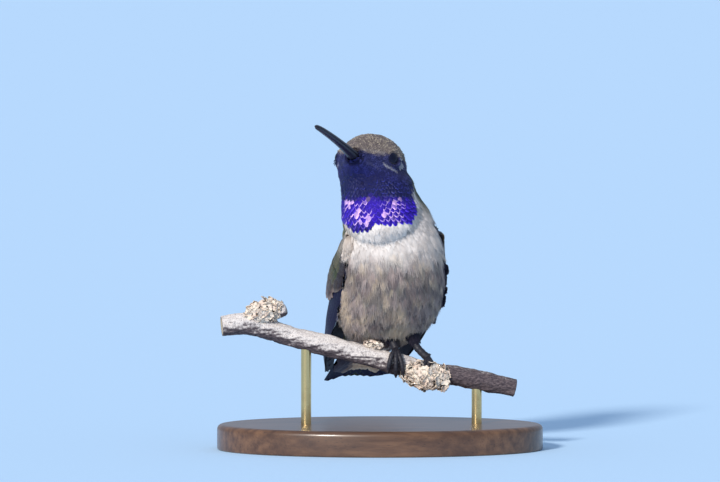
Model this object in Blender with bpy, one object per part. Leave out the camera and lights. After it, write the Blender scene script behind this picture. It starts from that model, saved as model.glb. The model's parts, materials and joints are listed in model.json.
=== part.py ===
"""A male black-chinned hummingbird, life size, perched on a cut length of lichened branch on a plain stand.

The part is in metres with +Z up. The origin is the centre of the stand's underside, on the floor. The branch
runs along X, and the bird faces -Y, its body turned a little towards +X and its head towards -X.
All sizes below are in millimetres and are turned into metres where a mesh is made.
"""

import math

import bmesh
import bpy
import numpy as np
from mathutils import Vector, noise

MM = 0.001
GAP = 0.3  # clearance between neighbouring solids

# Stand
BASE_HALF_LENGTH = 32.0
BASE_HALF_DEPTH = 21.0
BASE_HEIGHT = 5.0
BASE_BEVEL = 1.0
BASE_SIDES = 40
ROD_RADIUS = 1.0
ROD_DEPTH_IN_BASE = 3.0
ROD_SIDES = 14
ROD_X = {"stand_rod_left": -14.5, "stand_rod_right": 19.0}

# Branch: its middle line as (x, y, z), and its thickness
BRANCH_LINE = [
    (-31.0, -1.6, 24.3), (-26.5, -1.0, 24.7), (-22.5, -0.5, 23.9), (-17.0, 0.0, 22.0),
    (-10.0, 0.1, 20.3), (-2.0, 0.0, 18.2), (8.0, 0.1, 15.7), (17.0, 0.9, 14.0), (26.5, 2.2, 11.9),
]
BRANCH_RADIUS = 1.95
BRANCH_RINGS = 26
BRANCH_SIDES = 11
STUB_LINE = [(-26.5, -0.8, 25.4), (-22.5, -1.0, 26.4), (-18.3, -1.2, 27.7)]
STUB_RADIUS = 1.25
LICHENS = {  # middle, half sizes and lump height of each clump
    "perch_lichen_upper": ((-22.7, -1.2, 27.1), (4.8, 2.9, 2.5), 0.55),
    "perch_lichen_lower": ((9.1, -1.3, 14.5), (5.9, 3.1, 3.0), 0.60),
}

# Bird: the body frame stands on the floor under the trunk, the head frame at the middle of the head
BODY_ORIGIN = (2.3, 0.5, 0.0)
BODY_YAW = 13.0
HEAD_ORIGIN = (-2.1, -5.4, 56.2)
HEAD_YAW = -25.5
HEAD_PITCH = 22.0

# Feathered trunk and neck along the spine, tail end first: forward, left, up, half width, half depth
TRUNK_STATIONS = [
    (-25.0, 0.0, 15.6, 1.4, 0.9),
    (-21.5, 0.0, 18.0, 3.6, 2.0),
    (-17.5, 0.0, 20.9, 5.2, 3.6),
    (-13.0, 0.0, 24.0, 7.3, 5.6),
    (-7.5, 0.0, 27.2, 9.9, 8.3),
    (-2.0, 0.0, 31.2, 10.9, 9.8),
    (1.8, -0.2, 36.6, 10.7, 9.9),
    (3.2, -0.8, 42.2, 10.1, 9.1),
    (3.4, -1.5, 47.0, 8.4, 8.0),
    (3.2, -2.2, 51.0, 6.6, 6.8),
    (2.9, -2.4, 54.0, 5.3, 5.6),
    (2.6, -2.5, 57.0, 3.0, 3.2),
]
# Throat with its bib, which flares over the breast: forward, left, up in the throat frame, half width, half depth
THROAT_ORIGIN = (-0.6, -5.2, 0.0)
THROAT_YAW = -17.0
THROAT_STATIONS = [
    (0.2, 1.3, 43.8, 5.2, 5.0),
    (0.6, 1.2, 44.7, 7.5, 7.7),
    (0.7, 1.0, 46.0, 8.1, 8.3),
    (0.5, 0.7, 49.0, 7.9, 7.8),
    (0.2, -0.2, 53.0, 7.3, 7.0),
    (0.0, -0.8, 56.0, 6.2, 6.2),
]
# Head along the bill's axis, nape first: forward, left, up, half width, half height
HEAD_STATIONS = [
    (-7.4, 0.0, -0.8, 2.1, 2.3),
    (-6.4, 0.0, -0.6, 4.4, 4.4),
    (-4.0, 0.0, -0.2, 6.3, 6.0),
    (-1.0, 0.0, -0.1, 7.0, 6.5),
    (1.5, 0.0, -0.3, 6.5, 6.1),
    (4.0, 0.0, -0.7, 4.9, 4.8),
    (6.0, 0.0, -0.9, 3.1, 3.1),
    (7.6, 0.0, -0.9, 1.9, 1.8),
    (8.5, 0.0, -0.85, 1.3, 1.2),
]
LICHEN_KEPT_FACES = 0.10
FLESH_RING = 24
FLESH_BLEND = (0.45, 8, 0.043)  # voxel size, smoothing steps, share of faces kept

# Bill along the head's axis: forward, left, up, half width, half height
BILL_STATIONS = [
    (6.4, 0.0, -0.90, 1.30, 1.10),
    (9.0, 0.0, -0.83, 1.12, 0.96),
    (13.0, 0.0, -0.76, 0.90, 0.80),
    (18.0, 0.0, -0.84, 0.74, 0.68),
    (23.0, 0.0, -1.12, 0.60, 0.56),
    (25.6, 0.0, -1.42, 0.42, 0.42),
]
BILL_RINGS = 12
BILL_PARTING = 0.2
BILL_ROOT = 0.5  # how far the bill's cutter runs on into the head

# Eyes in the head frame
EYE_RADIUS = 1.65
EYE_FORWARD = 1.75
EYE_LEFT = 4.98
EYE_UP = 0.5
EYE_RINGS = 7
EYE_SIDES = 14

# Flat parting cuts: a point on each, in the head frame and in the body frame, and its slope
HEAD_CUT = (0.0, 0.0, -4.3)
HEAD_CUT_PITCH = -14.0
NECK_CUT = (3.5, 0.0, 46.4)
NECK_CUT_PITCH = 20.0

# Tail fan
TAIL_ROOT = (-11.5, -0.3, 27.2)
TAIL_SLOPE = 37.0
TAIL_LENGTH = 25.3
TAIL_NOTCH = 1.8
TAIL_HALF_SPREAD = 13.5
TAIL_FEATHERS = 10
TAIL_ROOT_HALF_WIDTH = 1.0
TAIL_THICKNESS = 0.8
TAIL_ARCH = 0.035

# Wings, for the left one: leading edge as a Bezier curve, and the blade's width along it
WING_EDGE = [(6.5, 9.3, 42.2), (2.6, 10.2, 27.6), (-17.6, 9.8, 16.0), (-28.2, 7.5, 13.0)]
WING_LEAN = -0.7  # sideways shift of both shoulders with the trunk
WING_ACROSS = (-0.66, -0.30, 0.73)
WING_WIDTHS = [5.0, 8.4, 9.5, 9.0, 7.6, 6.0, 4.6, 3.3, 2.2, 0.8]
WING_STEPS = 9  # feather tips along the trailing edge
WING_STEP_DEPTH = 0.09
WING_ARCH = 0.029  # height of the blade's arch for its width squared
WING_THICKNESS = (1.5, 0.6)  # at the shoulder, at the tip
WING_CUT = 0.33  # share of the length where the coverts end and the flight feathers begin
WING_GAP = 0.45  # clearance under and around a wing, whose facets are coarser than its cutter's
WING_CLEARING = 5.0  # how far outwards the trunk is cleared for the wing

# Legs: from inside the trunk to the foot on the branch, as (x, y, z, radius)
LEG_LINES = {
    "left": [(6.4, 0.8, 24.6, 1.5), (6.6, 0.8, 22.2, 1.2), (7.1, 0.7, 20.4, 0.85), (8.1, 0.2, 19.0, 0.62)],
    "right": [(1.4, 1.6, 25.0, 1.5), (1.7, 1.4, 23.0, 1.2), (2.2, 0.8, 21.6, 0.85), (2.8, 0.3, 20.5, 0.62)],
}
FOOT_X = {"left": 8.7, "right": 2.9}
FOOT_TURN = {"left": 2.3, "right": 0.2}  # how far the front toes reach along the branch
FOOT_PAD = 0.62
TOE_RADIUS = 0.40
CLAW_RADIUS = 0.25
TOE_SPREAD = 1.25
TOE_WRAP = {"front": 118.0, "back": 100.0}
TOE_STEPS = 6
TOE_SIDES = 8
FOOT_BLEND = (0.09, 2, 0.027)
TOE_START = 0.22  # share of the toes' spread that they have at the pad

COLOURS = {  # base colour, roughness, metallic
    "feather_grey": ((0.50, 0.47, 0.43), 0.85, 0.0),
    "feather_dark": ((0.05, 0.045, 0.07), 0.6, 0.0),
    "feather_violet": ((0.06, 0.03, 0.32), 0.35, 0.4),
    "horn_black": ((0.03, 0.028, 0.03), 0.4, 0.0),
    "eye": ((0.012, 0.010, 0.010), 0.08, 0.0),
    "bark": ((0.36, 0.33, 0.31), 0.9, 0.0),
    "lichen": ((0.66, 0.61, 0.52), 0.95, 0.0),
    "wood": ((0.13, 0.07, 0.04), 0.45, 0.0),
    "brass": ((0.70, 0.52, 0.25), 0.3, 1.0),
}


class Frame:
    """A heading at a place: forward, left and up, with angles in degrees."""

    def __init__(self, origin, yaw, pitch=0.0):
        turn, rise = math.radians(yaw), math.radians(pitch)
        self.origin = np.array(origin)
        self.forward = np.array(
            (math.sin(turn) * math.cos(rise), -math.cos(turn) * math.cos(rise), math.sin(rise))
        )
        self.left = np.array((math.cos(turn), math.sin(turn), 0.0))
        self.up = np.cross(self.forward, self.left)

    def direction(self, local):
        """The world direction of a local one."""
        return local[0] * self.forward + local[1] * self.left + local[2] * self.up

    def point(self, local):
        """The world place of a local one."""
        return self.origin + self.direction(local)


BODY = Frame(BODY_ORIGIN, BODY_YAW)
THROAT = Frame(THROAT_ORIGIN, THROAT_YAW)
HEAD = Frame(HEAD_ORIGIN, HEAD_YAW, HEAD_PITCH)


def smooth_rows(rows, count):
    """Rows read evenly from a smooth curve through the given rows (Catmull-Rom)."""
    rows = np.array(rows, float)
    padded = np.vstack((2 * rows[0] - rows[1], rows, 2 * rows[-1] - rows[-2]))
    found = []
    for at in np.linspace(0, len(rows) - 1, count):
        first = min(int(at), len(rows) - 2)
        t = at - first
        a, b, c, d = padded[first : first + 4]
        found.append(
            0.5 * (2 * b + (c - a) * t + (2 * a - 5 * b + 4 * c - d) * t**2 + (3 * b - a - 3 * c + d) * t**3)
        )
    return np.array(found)


def material(name):
    """The named finish as a Principled material."""
    found = bpy.data.materials.get(name)
    if found:
        return found
    colour, roughness, metallic = COLOURS[name]
    made = bpy.data.materials.new(name)
    made.use_nodes = True
    shader = made.node_tree.nodes["Principled BSDF"]
    shader.inputs["Base Color"].default_value = (*colour, 1.0)
    shader.inputs["Roughness"].default_value = roughness
    shader.inputs["Metallic"].default_value = metallic
    made.diffuse_color = (*colour, 1.0)
    return made


def add_object(name, mesh, finish=None):
    """A mesh as an object: a node if it has a finish, and otherwise a hidden helper."""
    made = bpy.data.objects.new(name, mesh)
    bpy.context.scene.collection.objects.link(made)
    if finish:
        mesh.materials.clear()
        mesh.materials.append(material(finish))
        mesh.shade_smooth()
    else:
        made.hide_render = True
        made.display_type = "WIRE"
    return made


def solid_mesh(name, points, faces):
    """A closed mesh from points in millimetres, with its faces turned outwards."""
    mesh = bpy.data.meshes.new(name)
    mesh.from_pydata([tuple(MM * c for c in p) for p in points], [], faces)
    work = bmesh.new()
    work.from_mesh(mesh)
    bmesh.ops.recalc_face_normals(work, faces=work.faces)
    work.to_mesh(mesh)
    work.free()
    return mesh


def loft_mesh(name, rings):
    """A skin over rings of equal count, closed by a fan at each end."""
    sides = len(rings[0])
    points = [p for ring in rings for p in ring]
    faces = []
    for r in range(len(rings) - 1):
        for k in range(sides):
            here, after = r * sides + k, r * sides + (k + 1) % sides
            faces.append((here, after, after + sides, here + sides))
    for ring, first in ((rings[0], 0), (rings[-1], len(points) - sides)):
        points.append(np.mean(ring, axis=0))
        faces += [(first + k, first + (k + 1) % sides, len(points) - 1) for k in range(sides)]
    return solid_mesh(name, points, faces)


def ellipse(centre, side, up, half_side, half_up, count):
    """Points round an ellipse."""
    angles = np.arange(count) * 2 * math.pi / count
    return [centre + half_side * math.cos(a) * side + half_up * math.sin(a) * up for a in angles]


def sagittal_rings(frame, stations, count, sides, grow=0.0):
    """Elliptical rings square to a spine that lies in the frame's middle plane."""
    rows = smooth_rows(stations, count)
    centres = np.array([frame.point(row[:3]) for row in rows])
    rings = []
    for k, row in enumerate(rows):
        along = centres[min(k + 1, count - 1)] - centres[max(k - 1, 0)]
        along /= np.linalg.norm(along)
        up = np.cross(along, frame.left)
        up /= np.linalg.norm(up)
        rings.append(ellipse(centres[k], frame.left, up, row[3] + grow, row[4] + grow, sides))
    return rings


def tube_rings(line, radii, sides):
    """Round rings along a line, turned with it as little as possible."""
    line = np.array(line, float)
    up = np.array((0.0, 0.0, 1.0))
    rings = []
    for k, centre in enumerate(line):
        along = line[min(k + 1, len(line) - 1)] - line[max(k - 1, 0)]
        along /= np.linalg.norm(along)
        side = np.cross(along, up)
        side /= np.linalg.norm(side)
        up = np.cross(side, along)
        rings.append(ellipse(centre, side, up, radii[k], radii[k], sides))
    return rings


def evaluated_mesh(obj, name):
    """A plain mesh of an object with its modifiers applied."""
    bpy.context.view_layer.update()
    graph = bpy.context.evaluated_depsgraph_get()
    mesh = bpy.data.meshes.new_from_object(obj.evaluated_get(graph))
    mesh.name = name
    return mesh


def boolean(obj, other, operation):
    """Adds a Boolean modifier with the hidden helper."""
    modifier = obj.modifiers.new(f"{operation.lower()} {other.name}", "BOOLEAN")
    modifier.operation = operation
    modifier.solver = "EXACT"
    modifier.object = other


def fused_mesh(name, meshes):
    """One closed mesh from several that overlap."""
    parts = [add_object(f"{name}.part{k}", mesh) for k, mesh in enumerate(meshes)]
    for part in parts[1:]:
        boolean(parts[0], part, "UNION")
    fused = evaluated_mesh(parts[0], name)
    for part in parts:
        bpy.data.objects.remove(part)
    return fused


def largest_piece(mesh):
    """Leaves only the largest of a mesh's separate pieces."""
    work = bmesh.new()
    work.from_mesh(mesh)
    pending = set(work.verts)
    pieces = []
    while pending:
        front = [pending.pop()]
        piece = list(front)
        while front:
            vertex = front.pop()
            for edge in vertex.link_edges:
                other = edge.other_vert(vertex)
                if other in pending:
                    pending.remove(other)
                    front.append(other)
                    piece.append(other)
        pieces.append(piece)
    pieces.sort(key=len)
    for piece in pieces[:-1]:
        bmesh.ops.delete(work, geom=piece, context="VERTS")
    work.to_mesh(mesh)
    work.free()
    return mesh


def blended_mesh(name, meshes, voxel, smoothing, kept):
    """One closed mesh from several that overlap, its inner corners rounded by the blending."""
    work = bmesh.new()
    for mesh in meshes:
        work.from_mesh(mesh)
    joined = bpy.data.meshes.new(name)
    work.to_mesh(joined)
    work.free()
    helper = add_object(f"{name} blend", joined)
    remesh = helper.modifiers.new("blend", "REMESH")
    remesh.mode = "VOXEL"
    remesh.voxel_size = voxel * MM
    smooth = helper.modifiers.new("smooth", "SMOOTH")
    smooth.factor = 0.5
    smooth.iterations = smoothing
    decimate = helper.modifiers.new("decimate", "DECIMATE")
    decimate.ratio = kept
    mesh = largest_piece(evaluated_mesh(helper, name))
    bpy.data.objects.remove(helper)
    return mesh


def half_space(name, point, normal):
    """A large hidden block on the side of a plane that its normal points to."""
    size = 120.0
    normal = Vector(normal).normalized()
    mesh = bpy.data.meshes.new(name)
    work = bmesh.new()
    bmesh.ops.create_cube(work, size=size * MM)
    work.to_mesh(mesh)
    work.free()
    block = add_object(name, mesh)
    block.rotation_mode = "QUATERNION"
    block.rotation_quaternion = normal.to_track_quat("Z", "Y")
    block.location = (Vector(point) + normal * size / 2) * MM
    return block


# ---------------------------------------------------------------- flesh


def flesh_mesh():
    """Trunk, throat and head blended into one smooth skin."""
    lofts = [
        loft_mesh("trunk loft", sagittal_rings(BODY, TRUNK_STATIONS, 26, FLESH_RING)),
        loft_mesh("throat loft", sagittal_rings(THROAT, THROAT_STATIONS, 12, FLESH_RING)),
        loft_mesh("head loft", sagittal_rings(HEAD, HEAD_STATIONS, 20, FLESH_RING)),
    ]
    return blended_mesh("flesh", lofts, *FLESH_BLEND)


def parting_planes():
    """The head and neck cuts, each as (point, upward normal) in the world."""
    head_tilt, neck_tilt = math.radians(HEAD_CUT_PITCH), math.radians(NECK_CUT_PITCH)
    head_normal = HEAD.direction((-math.sin(head_tilt), 0.0, math.cos(head_tilt)))
    neck_normal = BODY.direction((math.sin(neck_tilt), 0.0, math.cos(neck_tilt)))
    return (HEAD.point(HEAD_CUT), head_normal), (BODY.point(NECK_CUT), neck_normal)


def build_flesh(cutters):
    """Head, neck and trunk, parted by thin cuts and cleared for what is set into them."""
    flesh = flesh_mesh()
    (head_at, head_up), (neck_at, neck_up) = parting_planes()
    half_gap = GAP / 2
    keep = {
        "head": [half_space("above head cut", head_at + half_gap * head_up, head_up)],
        "neck": [
            half_space("below head cut", head_at - half_gap * head_up, -head_up),
            half_space("above neck cut", neck_at + half_gap * neck_up, neck_up),
        ],
        "trunk": [half_space("below neck cut", neck_at - half_gap * neck_up, -neck_up)],
    }
    finishes = {"head": "feather_dark", "neck": "feather_violet", "trunk": "feather_grey"}
    for name, spaces in keep.items():
        node = add_object(name, flesh.copy(), finishes[name])
        for space in spaces:
            boolean(node, space, "INTERSECT")
        for cutter in cutters[name]:
            boolean(node, cutter, "DIFFERENCE")


# ---------------------------------------------------------------- bill and eyes


def build_bill():
    """Upper and lower mandibles, parted by a fine line. Returns the cutter that clears the head for them."""
    rows = smooth_rows(BILL_STATIONS, BILL_RINGS)
    arc = np.linspace(0.0, math.pi, 7)
    for name, side in (("bill_upper", 1.0), ("bill_lower", -1.0)):
        rings = []
        for forward, left, up, half_width, half_height in rows:
            middle = HEAD.point((forward, left, up + side * BILL_PARTING / 2))
            height = half_height - BILL_PARTING / 2
            rings.append(
                [
                    middle + half_width * math.cos(a) * HEAD.left + side * height * math.sin(a) * HEAD.up
                    for a in arc
                ]
            )
        add_object(name, loft_mesh(name, rings), "horn_black")
    root = [(row[0] - (BILL_ROOT if k == 0 else 0.0), *row[1:]) for k, row in enumerate(BILL_STATIONS)]
    rings = sagittal_rings(HEAD, root, BILL_RINGS, 12, grow=GAP)
    return add_object("bill cutter", loft_mesh("bill cutter", rings))


def ball_mesh(name, centre, radius, detail=2):
    """A closed round ball of triangles."""
    mesh = bpy.data.meshes.new(name)
    work = bmesh.new()
    bmesh.ops.create_icosphere(work, subdivisions=detail, radius=radius * MM)
    bmesh.ops.translate(work, verts=work.verts, vec=Vector(centre) * MM)
    work.to_mesh(mesh)
    work.free()
    return mesh


def spindle_ball(name, inner, outer, grow=0.0):
    """A round ball of rings about the line between two opposite points of it."""
    centre = (inner + outer) / 2
    pole = (outer - inner) / np.linalg.norm(outer - inner)
    radius = np.linalg.norm(outer - inner) / 2 + grow
    rings = []
    for step in range(1, EYE_RINGS):
        turn = math.pi * step / EYE_RINGS
        middle = centre - pole * radius * math.cos(turn)
        spread = radius * math.sin(turn)
        rings.append(ellipse(middle, HEAD.up, HEAD.forward, spread, spread, EYE_SIDES))
    mesh = loft_mesh(name, rings)
    mesh.vertices[-2].co = Vector(centre - pole * radius) * MM
    mesh.vertices[-1].co = Vector(centre + pole * radius) * MM
    return mesh


def build_eyes():
    """Both eyes, set into the head. Returns the sockets' cutters."""
    sockets = []
    for name, side in (("eye_left", 1.0), ("eye_right", -1.0)):
        inner = HEAD.point((EYE_FORWARD, side * (EYE_LEFT - EYE_RADIUS), EYE_UP))
        outer = HEAD.point((EYE_FORWARD, side * (EYE_LEFT + EYE_RADIUS), EYE_UP))
        add_object(name, spindle_ball(name, inner, outer), "eye")
        sockets.append(add_object(f"{name} socket", spindle_ball(f"{name} socket", inner, outer, GAP)))
    return sockets


# ---------------------------------------------------------------- tail and wings


def sheet_solid(name, grid, normals, above, below):
    """A closed thin solid over a grid of points: above and below are its reach along the normals."""
    rows, columns = grid.shape[:2]
    top = grid + normals * above[..., None]
    bottom = grid - normals * below[..., None]
    points = np.vstack((top.reshape(-1, 3), bottom.reshape(-1, 3)))
    under = rows * columns
    faces = []
    for r in range(rows - 1):
        for c in range(columns - 1):
            a = r * columns + c
            b, d, e = a + 1, a + columns, a + columns + 1
            faces.append((a, b, e, d))
            faces.append((a + under, d + under, e + under, b + under))
    rim = [c for c in range(columns)]
    rim += [r * columns + columns - 1 for r in range(1, rows)]
    rim += [(rows - 1) * columns + c for c in range(columns - 2, -1, -1)]
    rim += [r * columns for r in range(rows - 2, 0, -1)]
    for a, b in zip(rim, rim[1:] + rim[:1]):
        faces.append((b, a, a + under, b + under))
    return solid_mesh(name, points, faces)


def tail_mesh(name, grow=0.0):
    """The tail as one fan of overlapping feathers with rounded tips and a shallow notch."""
    slope = math.radians(TAIL_SLOPE)
    along = BODY.direction((-math.cos(slope), 0.0, -math.sin(slope)))
    normal = BODY.direction((-math.sin(slope), 0.0, math.cos(slope)))
    root = BODY.point(TAIL_ROOT)
    per_feather = 3
    columns = TAIL_FEATHERS * per_feather + 1
    rows = 4
    grid = np.zeros((rows, columns, 3))
    step = np.zeros((rows, columns))
    half_spread = math.radians(TAIL_HALF_SPREAD)
    for c in range(columns):
        across = 2 * c / (columns - 1) - 1
        angle = across * half_spread
        within = 2 * ((c % per_feather) / per_feather) - 1 if c % per_feather else -1.0
        reach = TAIL_LENGTH - TAIL_NOTCH * math.exp(-((across / 0.3) ** 2)) - 0.9 * across**4
        reach -= 0.8 * (within**2 - 0.1)
        for r in range(rows):
            out = (reach + grow) * r / (rows - 1) - grow * (r == 0)
            side = out * math.sin(angle) + across * (TAIL_ROOT_HALF_WIDTH + grow)
            lift = -TAIL_ARCH * side**2
            grid[r, c] = root + out * math.cos(angle) * along + side * BODY.left + lift * normal
            step[r, c] = 0.07 * (1 - within) * r / (rows - 1)
    half = np.full((rows, columns), TAIL_THICKNESS / 2 + grow)
    return sheet_solid(name, grid, np.broadcast_to(normal, grid.shape), half + step, half)


def wing_grid(side, start, end, rows, columns, grow=0.0):
    """Points, outward normals and thickness over part of a folded wing; side is 1 for the left one."""
    edge = np.array(WING_EDGE)
    across = np.array(WING_ACROSS) / np.linalg.norm(WING_ACROSS)
    widths = smooth_rows([[w] for w in WING_WIDTHS], 101)[:, 0]
    grid = np.zeros((rows, columns, 3))
    normals = np.zeros((rows, columns, 3))
    thickness = np.zeros((rows, columns))
    mirror = np.array((1.0, side, 1.0))
    for r in range(rows):
        t = start + (end - start) * r / (rows - 1)
        u = 1 - t
        place = u**3 * edge[0] + 3 * u**2 * t * edge[1] + 3 * u * t**2 * edge[2] + t**3 * edge[3]
        along = u**2 * (edge[1] - edge[0]) + 2 * u * t * (edge[2] - edge[1]) + t**2 * (edge[3] - edge[2])
        along /= np.linalg.norm(along)
        sideways = across - along * (across @ along)
        sideways /= np.linalg.norm(sideways)
        outward = np.cross(sideways, along)
        outward *= math.copysign(1.0, outward[1])
        width = widths[int(round(100 * t))]
        tooth = (t * WING_STEPS) % 1.0
        if t > WING_CUT:
            width *= 1 + WING_STEP_DEPTH * (0.5 - tooth)
        for c in range(columns):
            share = c / (columns - 1)
            out = -grow + (width + 2 * grow) * share
            arch = 4 * WING_ARCH * width**2 * share * (1 - share)
            local = place + out * sideways + arch * outward
            tilt = outward - 4 * WING_ARCH * width * (1 - 2 * share) * sideways
            grid[r, c] = BODY.point(local * mirror + (0.0, WING_LEAN * u, 0.0))
            normals[r, c] = BODY.direction(tilt / np.linalg.norm(tilt) * mirror)
            thickness[r, c] = WING_THICKNESS[0] + (WING_THICKNESS[1] - WING_THICKNESS[0]) * min(1.0, t * 2.2)
    return grid, normals, thickness


def build_wings():
    """Both folded wings, each as coverts and flight feathers. Returns the cutters that clear the trunk."""
    cutters = []
    slit = GAP / 2 / 44.0
    parts = (("coverts", 0.0, WING_CUT - slit, 6), ("feathers", WING_CUT + slit, 1.0, 20))
    for side_name, side in (("left", 1.0), ("right", -1.0)):
        for part, start, end, rows in parts:
            name = f"wing_{side_name}_{part}"
            grid, normals, thickness = wing_grid(side, start, end, rows, 5)
            finish = "feather_grey" if part == "coverts" else "feather_dark"
            add_object(name, sheet_solid(name, grid, normals, thickness / 2, thickness / 2), finish)
        grid, normals, thickness = wing_grid(side, 0.0, 1.0, 15, 6, grow=WING_GAP)
        outer = np.full(thickness.shape, WING_CLEARING)
        mesh = sheet_solid(f"wing {side_name} cutter", grid, normals, outer, thickness / 2 + WING_GAP)
        cutters.append(add_object(f"wing {side_name} cutter", mesh))
    return cutters


# ---------------------------------------------------------------- perch, legs and stand


def branch_line(count=BRANCH_RINGS):
    """The branch's middle line, evenly read."""
    return smooth_rows(BRANCH_LINE, count)


def branch_radius(x):
    """The branch's half thickness at x: a little thicker to the left, with slow swellings."""
    return BRANCH_RADIUS + 0.12 * math.sin(0.45 * x) - 0.004 * x


def branch_mesh(name, grow=0.0):
    """The cut branch with its broken stub."""
    line = branch_line()
    if grow:
        ends = line[0] - line[1], line[-1] - line[-2]
        line = np.vstack((line[0] + ends[0], line[1:-1], line[-1] + ends[1]))
    radii = [branch_radius(p[0]) + grow for p in line]
    main = loft_mesh(name, tube_rings(line, radii, BRANCH_SIDES))
    stub_line = smooth_rows(STUB_LINE, 6)
    stub_radii = np.linspace(STUB_RADIUS + 0.3, STUB_RADIUS, 6) + grow
    stub = loft_mesh(f"{name} stub", tube_rings(stub_line, stub_radii, BRANCH_SIDES - 1))
    return fused_mesh(name, [main, stub])


def lichen_mesh(name, middle, half_sizes, lump):
    """A lumpy crust, before the branch is cleared from it."""
    mesh = ball_mesh(name, (0, 0, 0), 1.0, 4)
    for vertex in mesh.vertices:
        way = Vector(vertex.co).normalized()
        place = Vector(c * s for c, s in zip(way, half_sizes))
        swell = 1.0 + lump * 0.5 * noise.noise(place * 0.9 + Vector(middle))
        swell += lump * 0.28 * noise.noise(place * 2.1 - Vector(middle))
        vertex.co = (Vector(middle) + place * swell) * MM
    return mesh


def branch_at(x):
    """The branch's middle point and direction at x."""
    line = branch_line(200)
    k = min(int(np.searchsorted(line[:, 0], x)), len(line) - 2)
    along = line[k + 1] - line[k - 1]
    share = (x - line[k - 1][0]) / (line[k][0] - line[k - 1][0])
    return line[k - 1] + share * (line[k] - line[k - 1]), along / np.linalg.norm(along)


def foot_mesh(name, x, turn, grow=0.0):
    """Three toes over the front of the branch, one behind, with claws, joined at the pad."""
    centre, along = branch_at(x)
    front = np.cross((0.0, 0.0, 1.0), along)
    front /= -np.linalg.norm(front)
    top = np.cross(along, front) * math.copysign(1.0, np.cross(along, front)[2])
    ride = branch_radius(x) + GAP + TOE_RADIUS
    meshes = [ball_mesh(f"{name} pad", centre + top * (ride + 0.15), FOOT_PAD + grow)]
    for k, (spread, way) in enumerate(((-1.0, "front"), (0.0, "front"), (1.0, "front"), (0.0, "back"))):
        face = front if way == "front" else -front
        wrap = math.radians(TOE_WRAP[way] * (1.0 if spread == 0.0 else 0.86))
        points, radii = [], []
        for step in np.linspace(0.0, 1.0, TOE_STEPS):
            angle = wrap * step - 0.12 * wrap * (1 - step)
            reach = TOE_START + (1.0 - TOE_START) * min(1.0, 1.6 * step)
            sideways = (spread * TOE_SPREAD + turn * (way == "front")) * reach
            middle, _ = branch_at(x + sideways)
            points.append(middle + ride * (math.cos(angle) * top + math.sin(angle) * face))
            radii.append((TOE_RADIUS if step < 0.75 else CLAW_RADIUS) + grow)
        meshes.append(loft_mesh(f"{name} toe {k}", tube_rings(points, radii, TOE_SIDES)))
    return blended_mesh(name, meshes, *FOOT_BLEND)


def build_legs():
    """Legs and feet. Returns the cutters for the trunk and for the lichens."""
    leg_cutters, foot_cutters = [], []
    for side, line in LEG_LINES.items():
        rows = smooth_rows(line, 8)
        leg = f"leg_{side}"
        add_object(leg, loft_mesh(leg, tube_rings(rows[:, :3], rows[:, 3], 10)), "feather_dark")
        grown = loft_mesh(f"{leg} cutter", tube_rings(rows[:, :3], rows[:, 3] + GAP, 12))
        leg_cutters.append(add_object(f"{leg} cutter", grown))
        foot = f"foot_{side}"
        place = FOOT_X[side], FOOT_TURN[side]
        add_object(foot, foot_mesh(foot, *place), "horn_black")
        foot_cutters.append(add_object(f"{foot} cutter", foot_mesh(f"{foot} cutter", *place, GAP)))
    for side, foot_cutter in zip(LEG_LINES, foot_cutters):
        boolean(bpy.data.objects[f"leg_{side}"], foot_cutter, "DIFFERENCE")
    return leg_cutters, foot_cutters


def build_perch(foot_cutters):
    """The branch and its lichens. Returns the cutter that clears the branch from what lies on it."""
    add_object("perch_branch", branch_mesh("perch_branch"), "bark")
    cutter = add_object("branch cutter", branch_mesh("branch cutter", GAP))
    for name, (middle, half_sizes, lump) in LICHENS.items():
        clump = add_object(f"{name} block", lichen_mesh(name, middle, half_sizes, lump))
        slim = clump.modifiers.new("fewer faces", "DECIMATE")
        slim.ratio = LICHEN_KEPT_FACES
        for other in (cutter, *foot_cutters):
            boolean(clump, other, "DIFFERENCE")
        add_object(name, largest_piece(evaluated_mesh(clump, name)), "lichen")
        bpy.data.objects.remove(clump)
    return cutter


def oval_ring(half_length, half_depth, height):
    """Points of the base's outline at a height."""
    return ellipse(
        np.array((0.0, 0.0, height)),
        np.array((1.0, 0.0, 0.0)),
        np.array((0.0, 1.0, 0.0)),
        half_length,
        half_depth,
        BASE_SIDES,
    )


def build_stand(branch_cutter):
    """An oval base with two rods, each let into it and shaped to the branch above."""
    levels = [(0.0, 0.0), (0.0, BASE_HEIGHT - BASE_BEVEL)]
    for k in range(1, 4):
        turn = math.radians(30 * k)
        levels.append((BASE_BEVEL * (1 - math.cos(turn)), BASE_HEIGHT - BASE_BEVEL * (1 - math.sin(turn))))
    rings = [oval_ring(BASE_HALF_LENGTH - inset, BASE_HALF_DEPTH - inset, z) for inset, z in levels]
    base = add_object("stand_base", loft_mesh("stand_base", rings), "wood")
    for name, x in ROD_X.items():
        top, _ = branch_at(x)
        foot = np.array((x, top[1], BASE_HEIGHT - ROD_DEPTH_IN_BASE))
        line = [foot, top]
        rod = loft_mesh(name, tube_rings_upright(line, ROD_RADIUS))
        boolean(add_object(name, rod, "brass"), branch_cutter, "DIFFERENCE")
        hole = [foot - (0.0, 0.0, GAP), np.array((x, top[1], BASE_HEIGHT + 2.0))]
        hole_mesh = loft_mesh(f"{name} hole", tube_rings_upright(hole, ROD_RADIUS + GAP))
        boolean(base, add_object(f"{name} hole", hole_mesh), "DIFFERENCE")


def tube_rings_upright(line, radius):
    """Level rings at each point of an upright line."""
    return [
        ellipse(np.array(p), np.array((1.0, 0.0, 0.0)), np.array((0.0, 1.0, 0.0)), radius, radius, ROD_SIDES)
        for p in line
    ]


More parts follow.
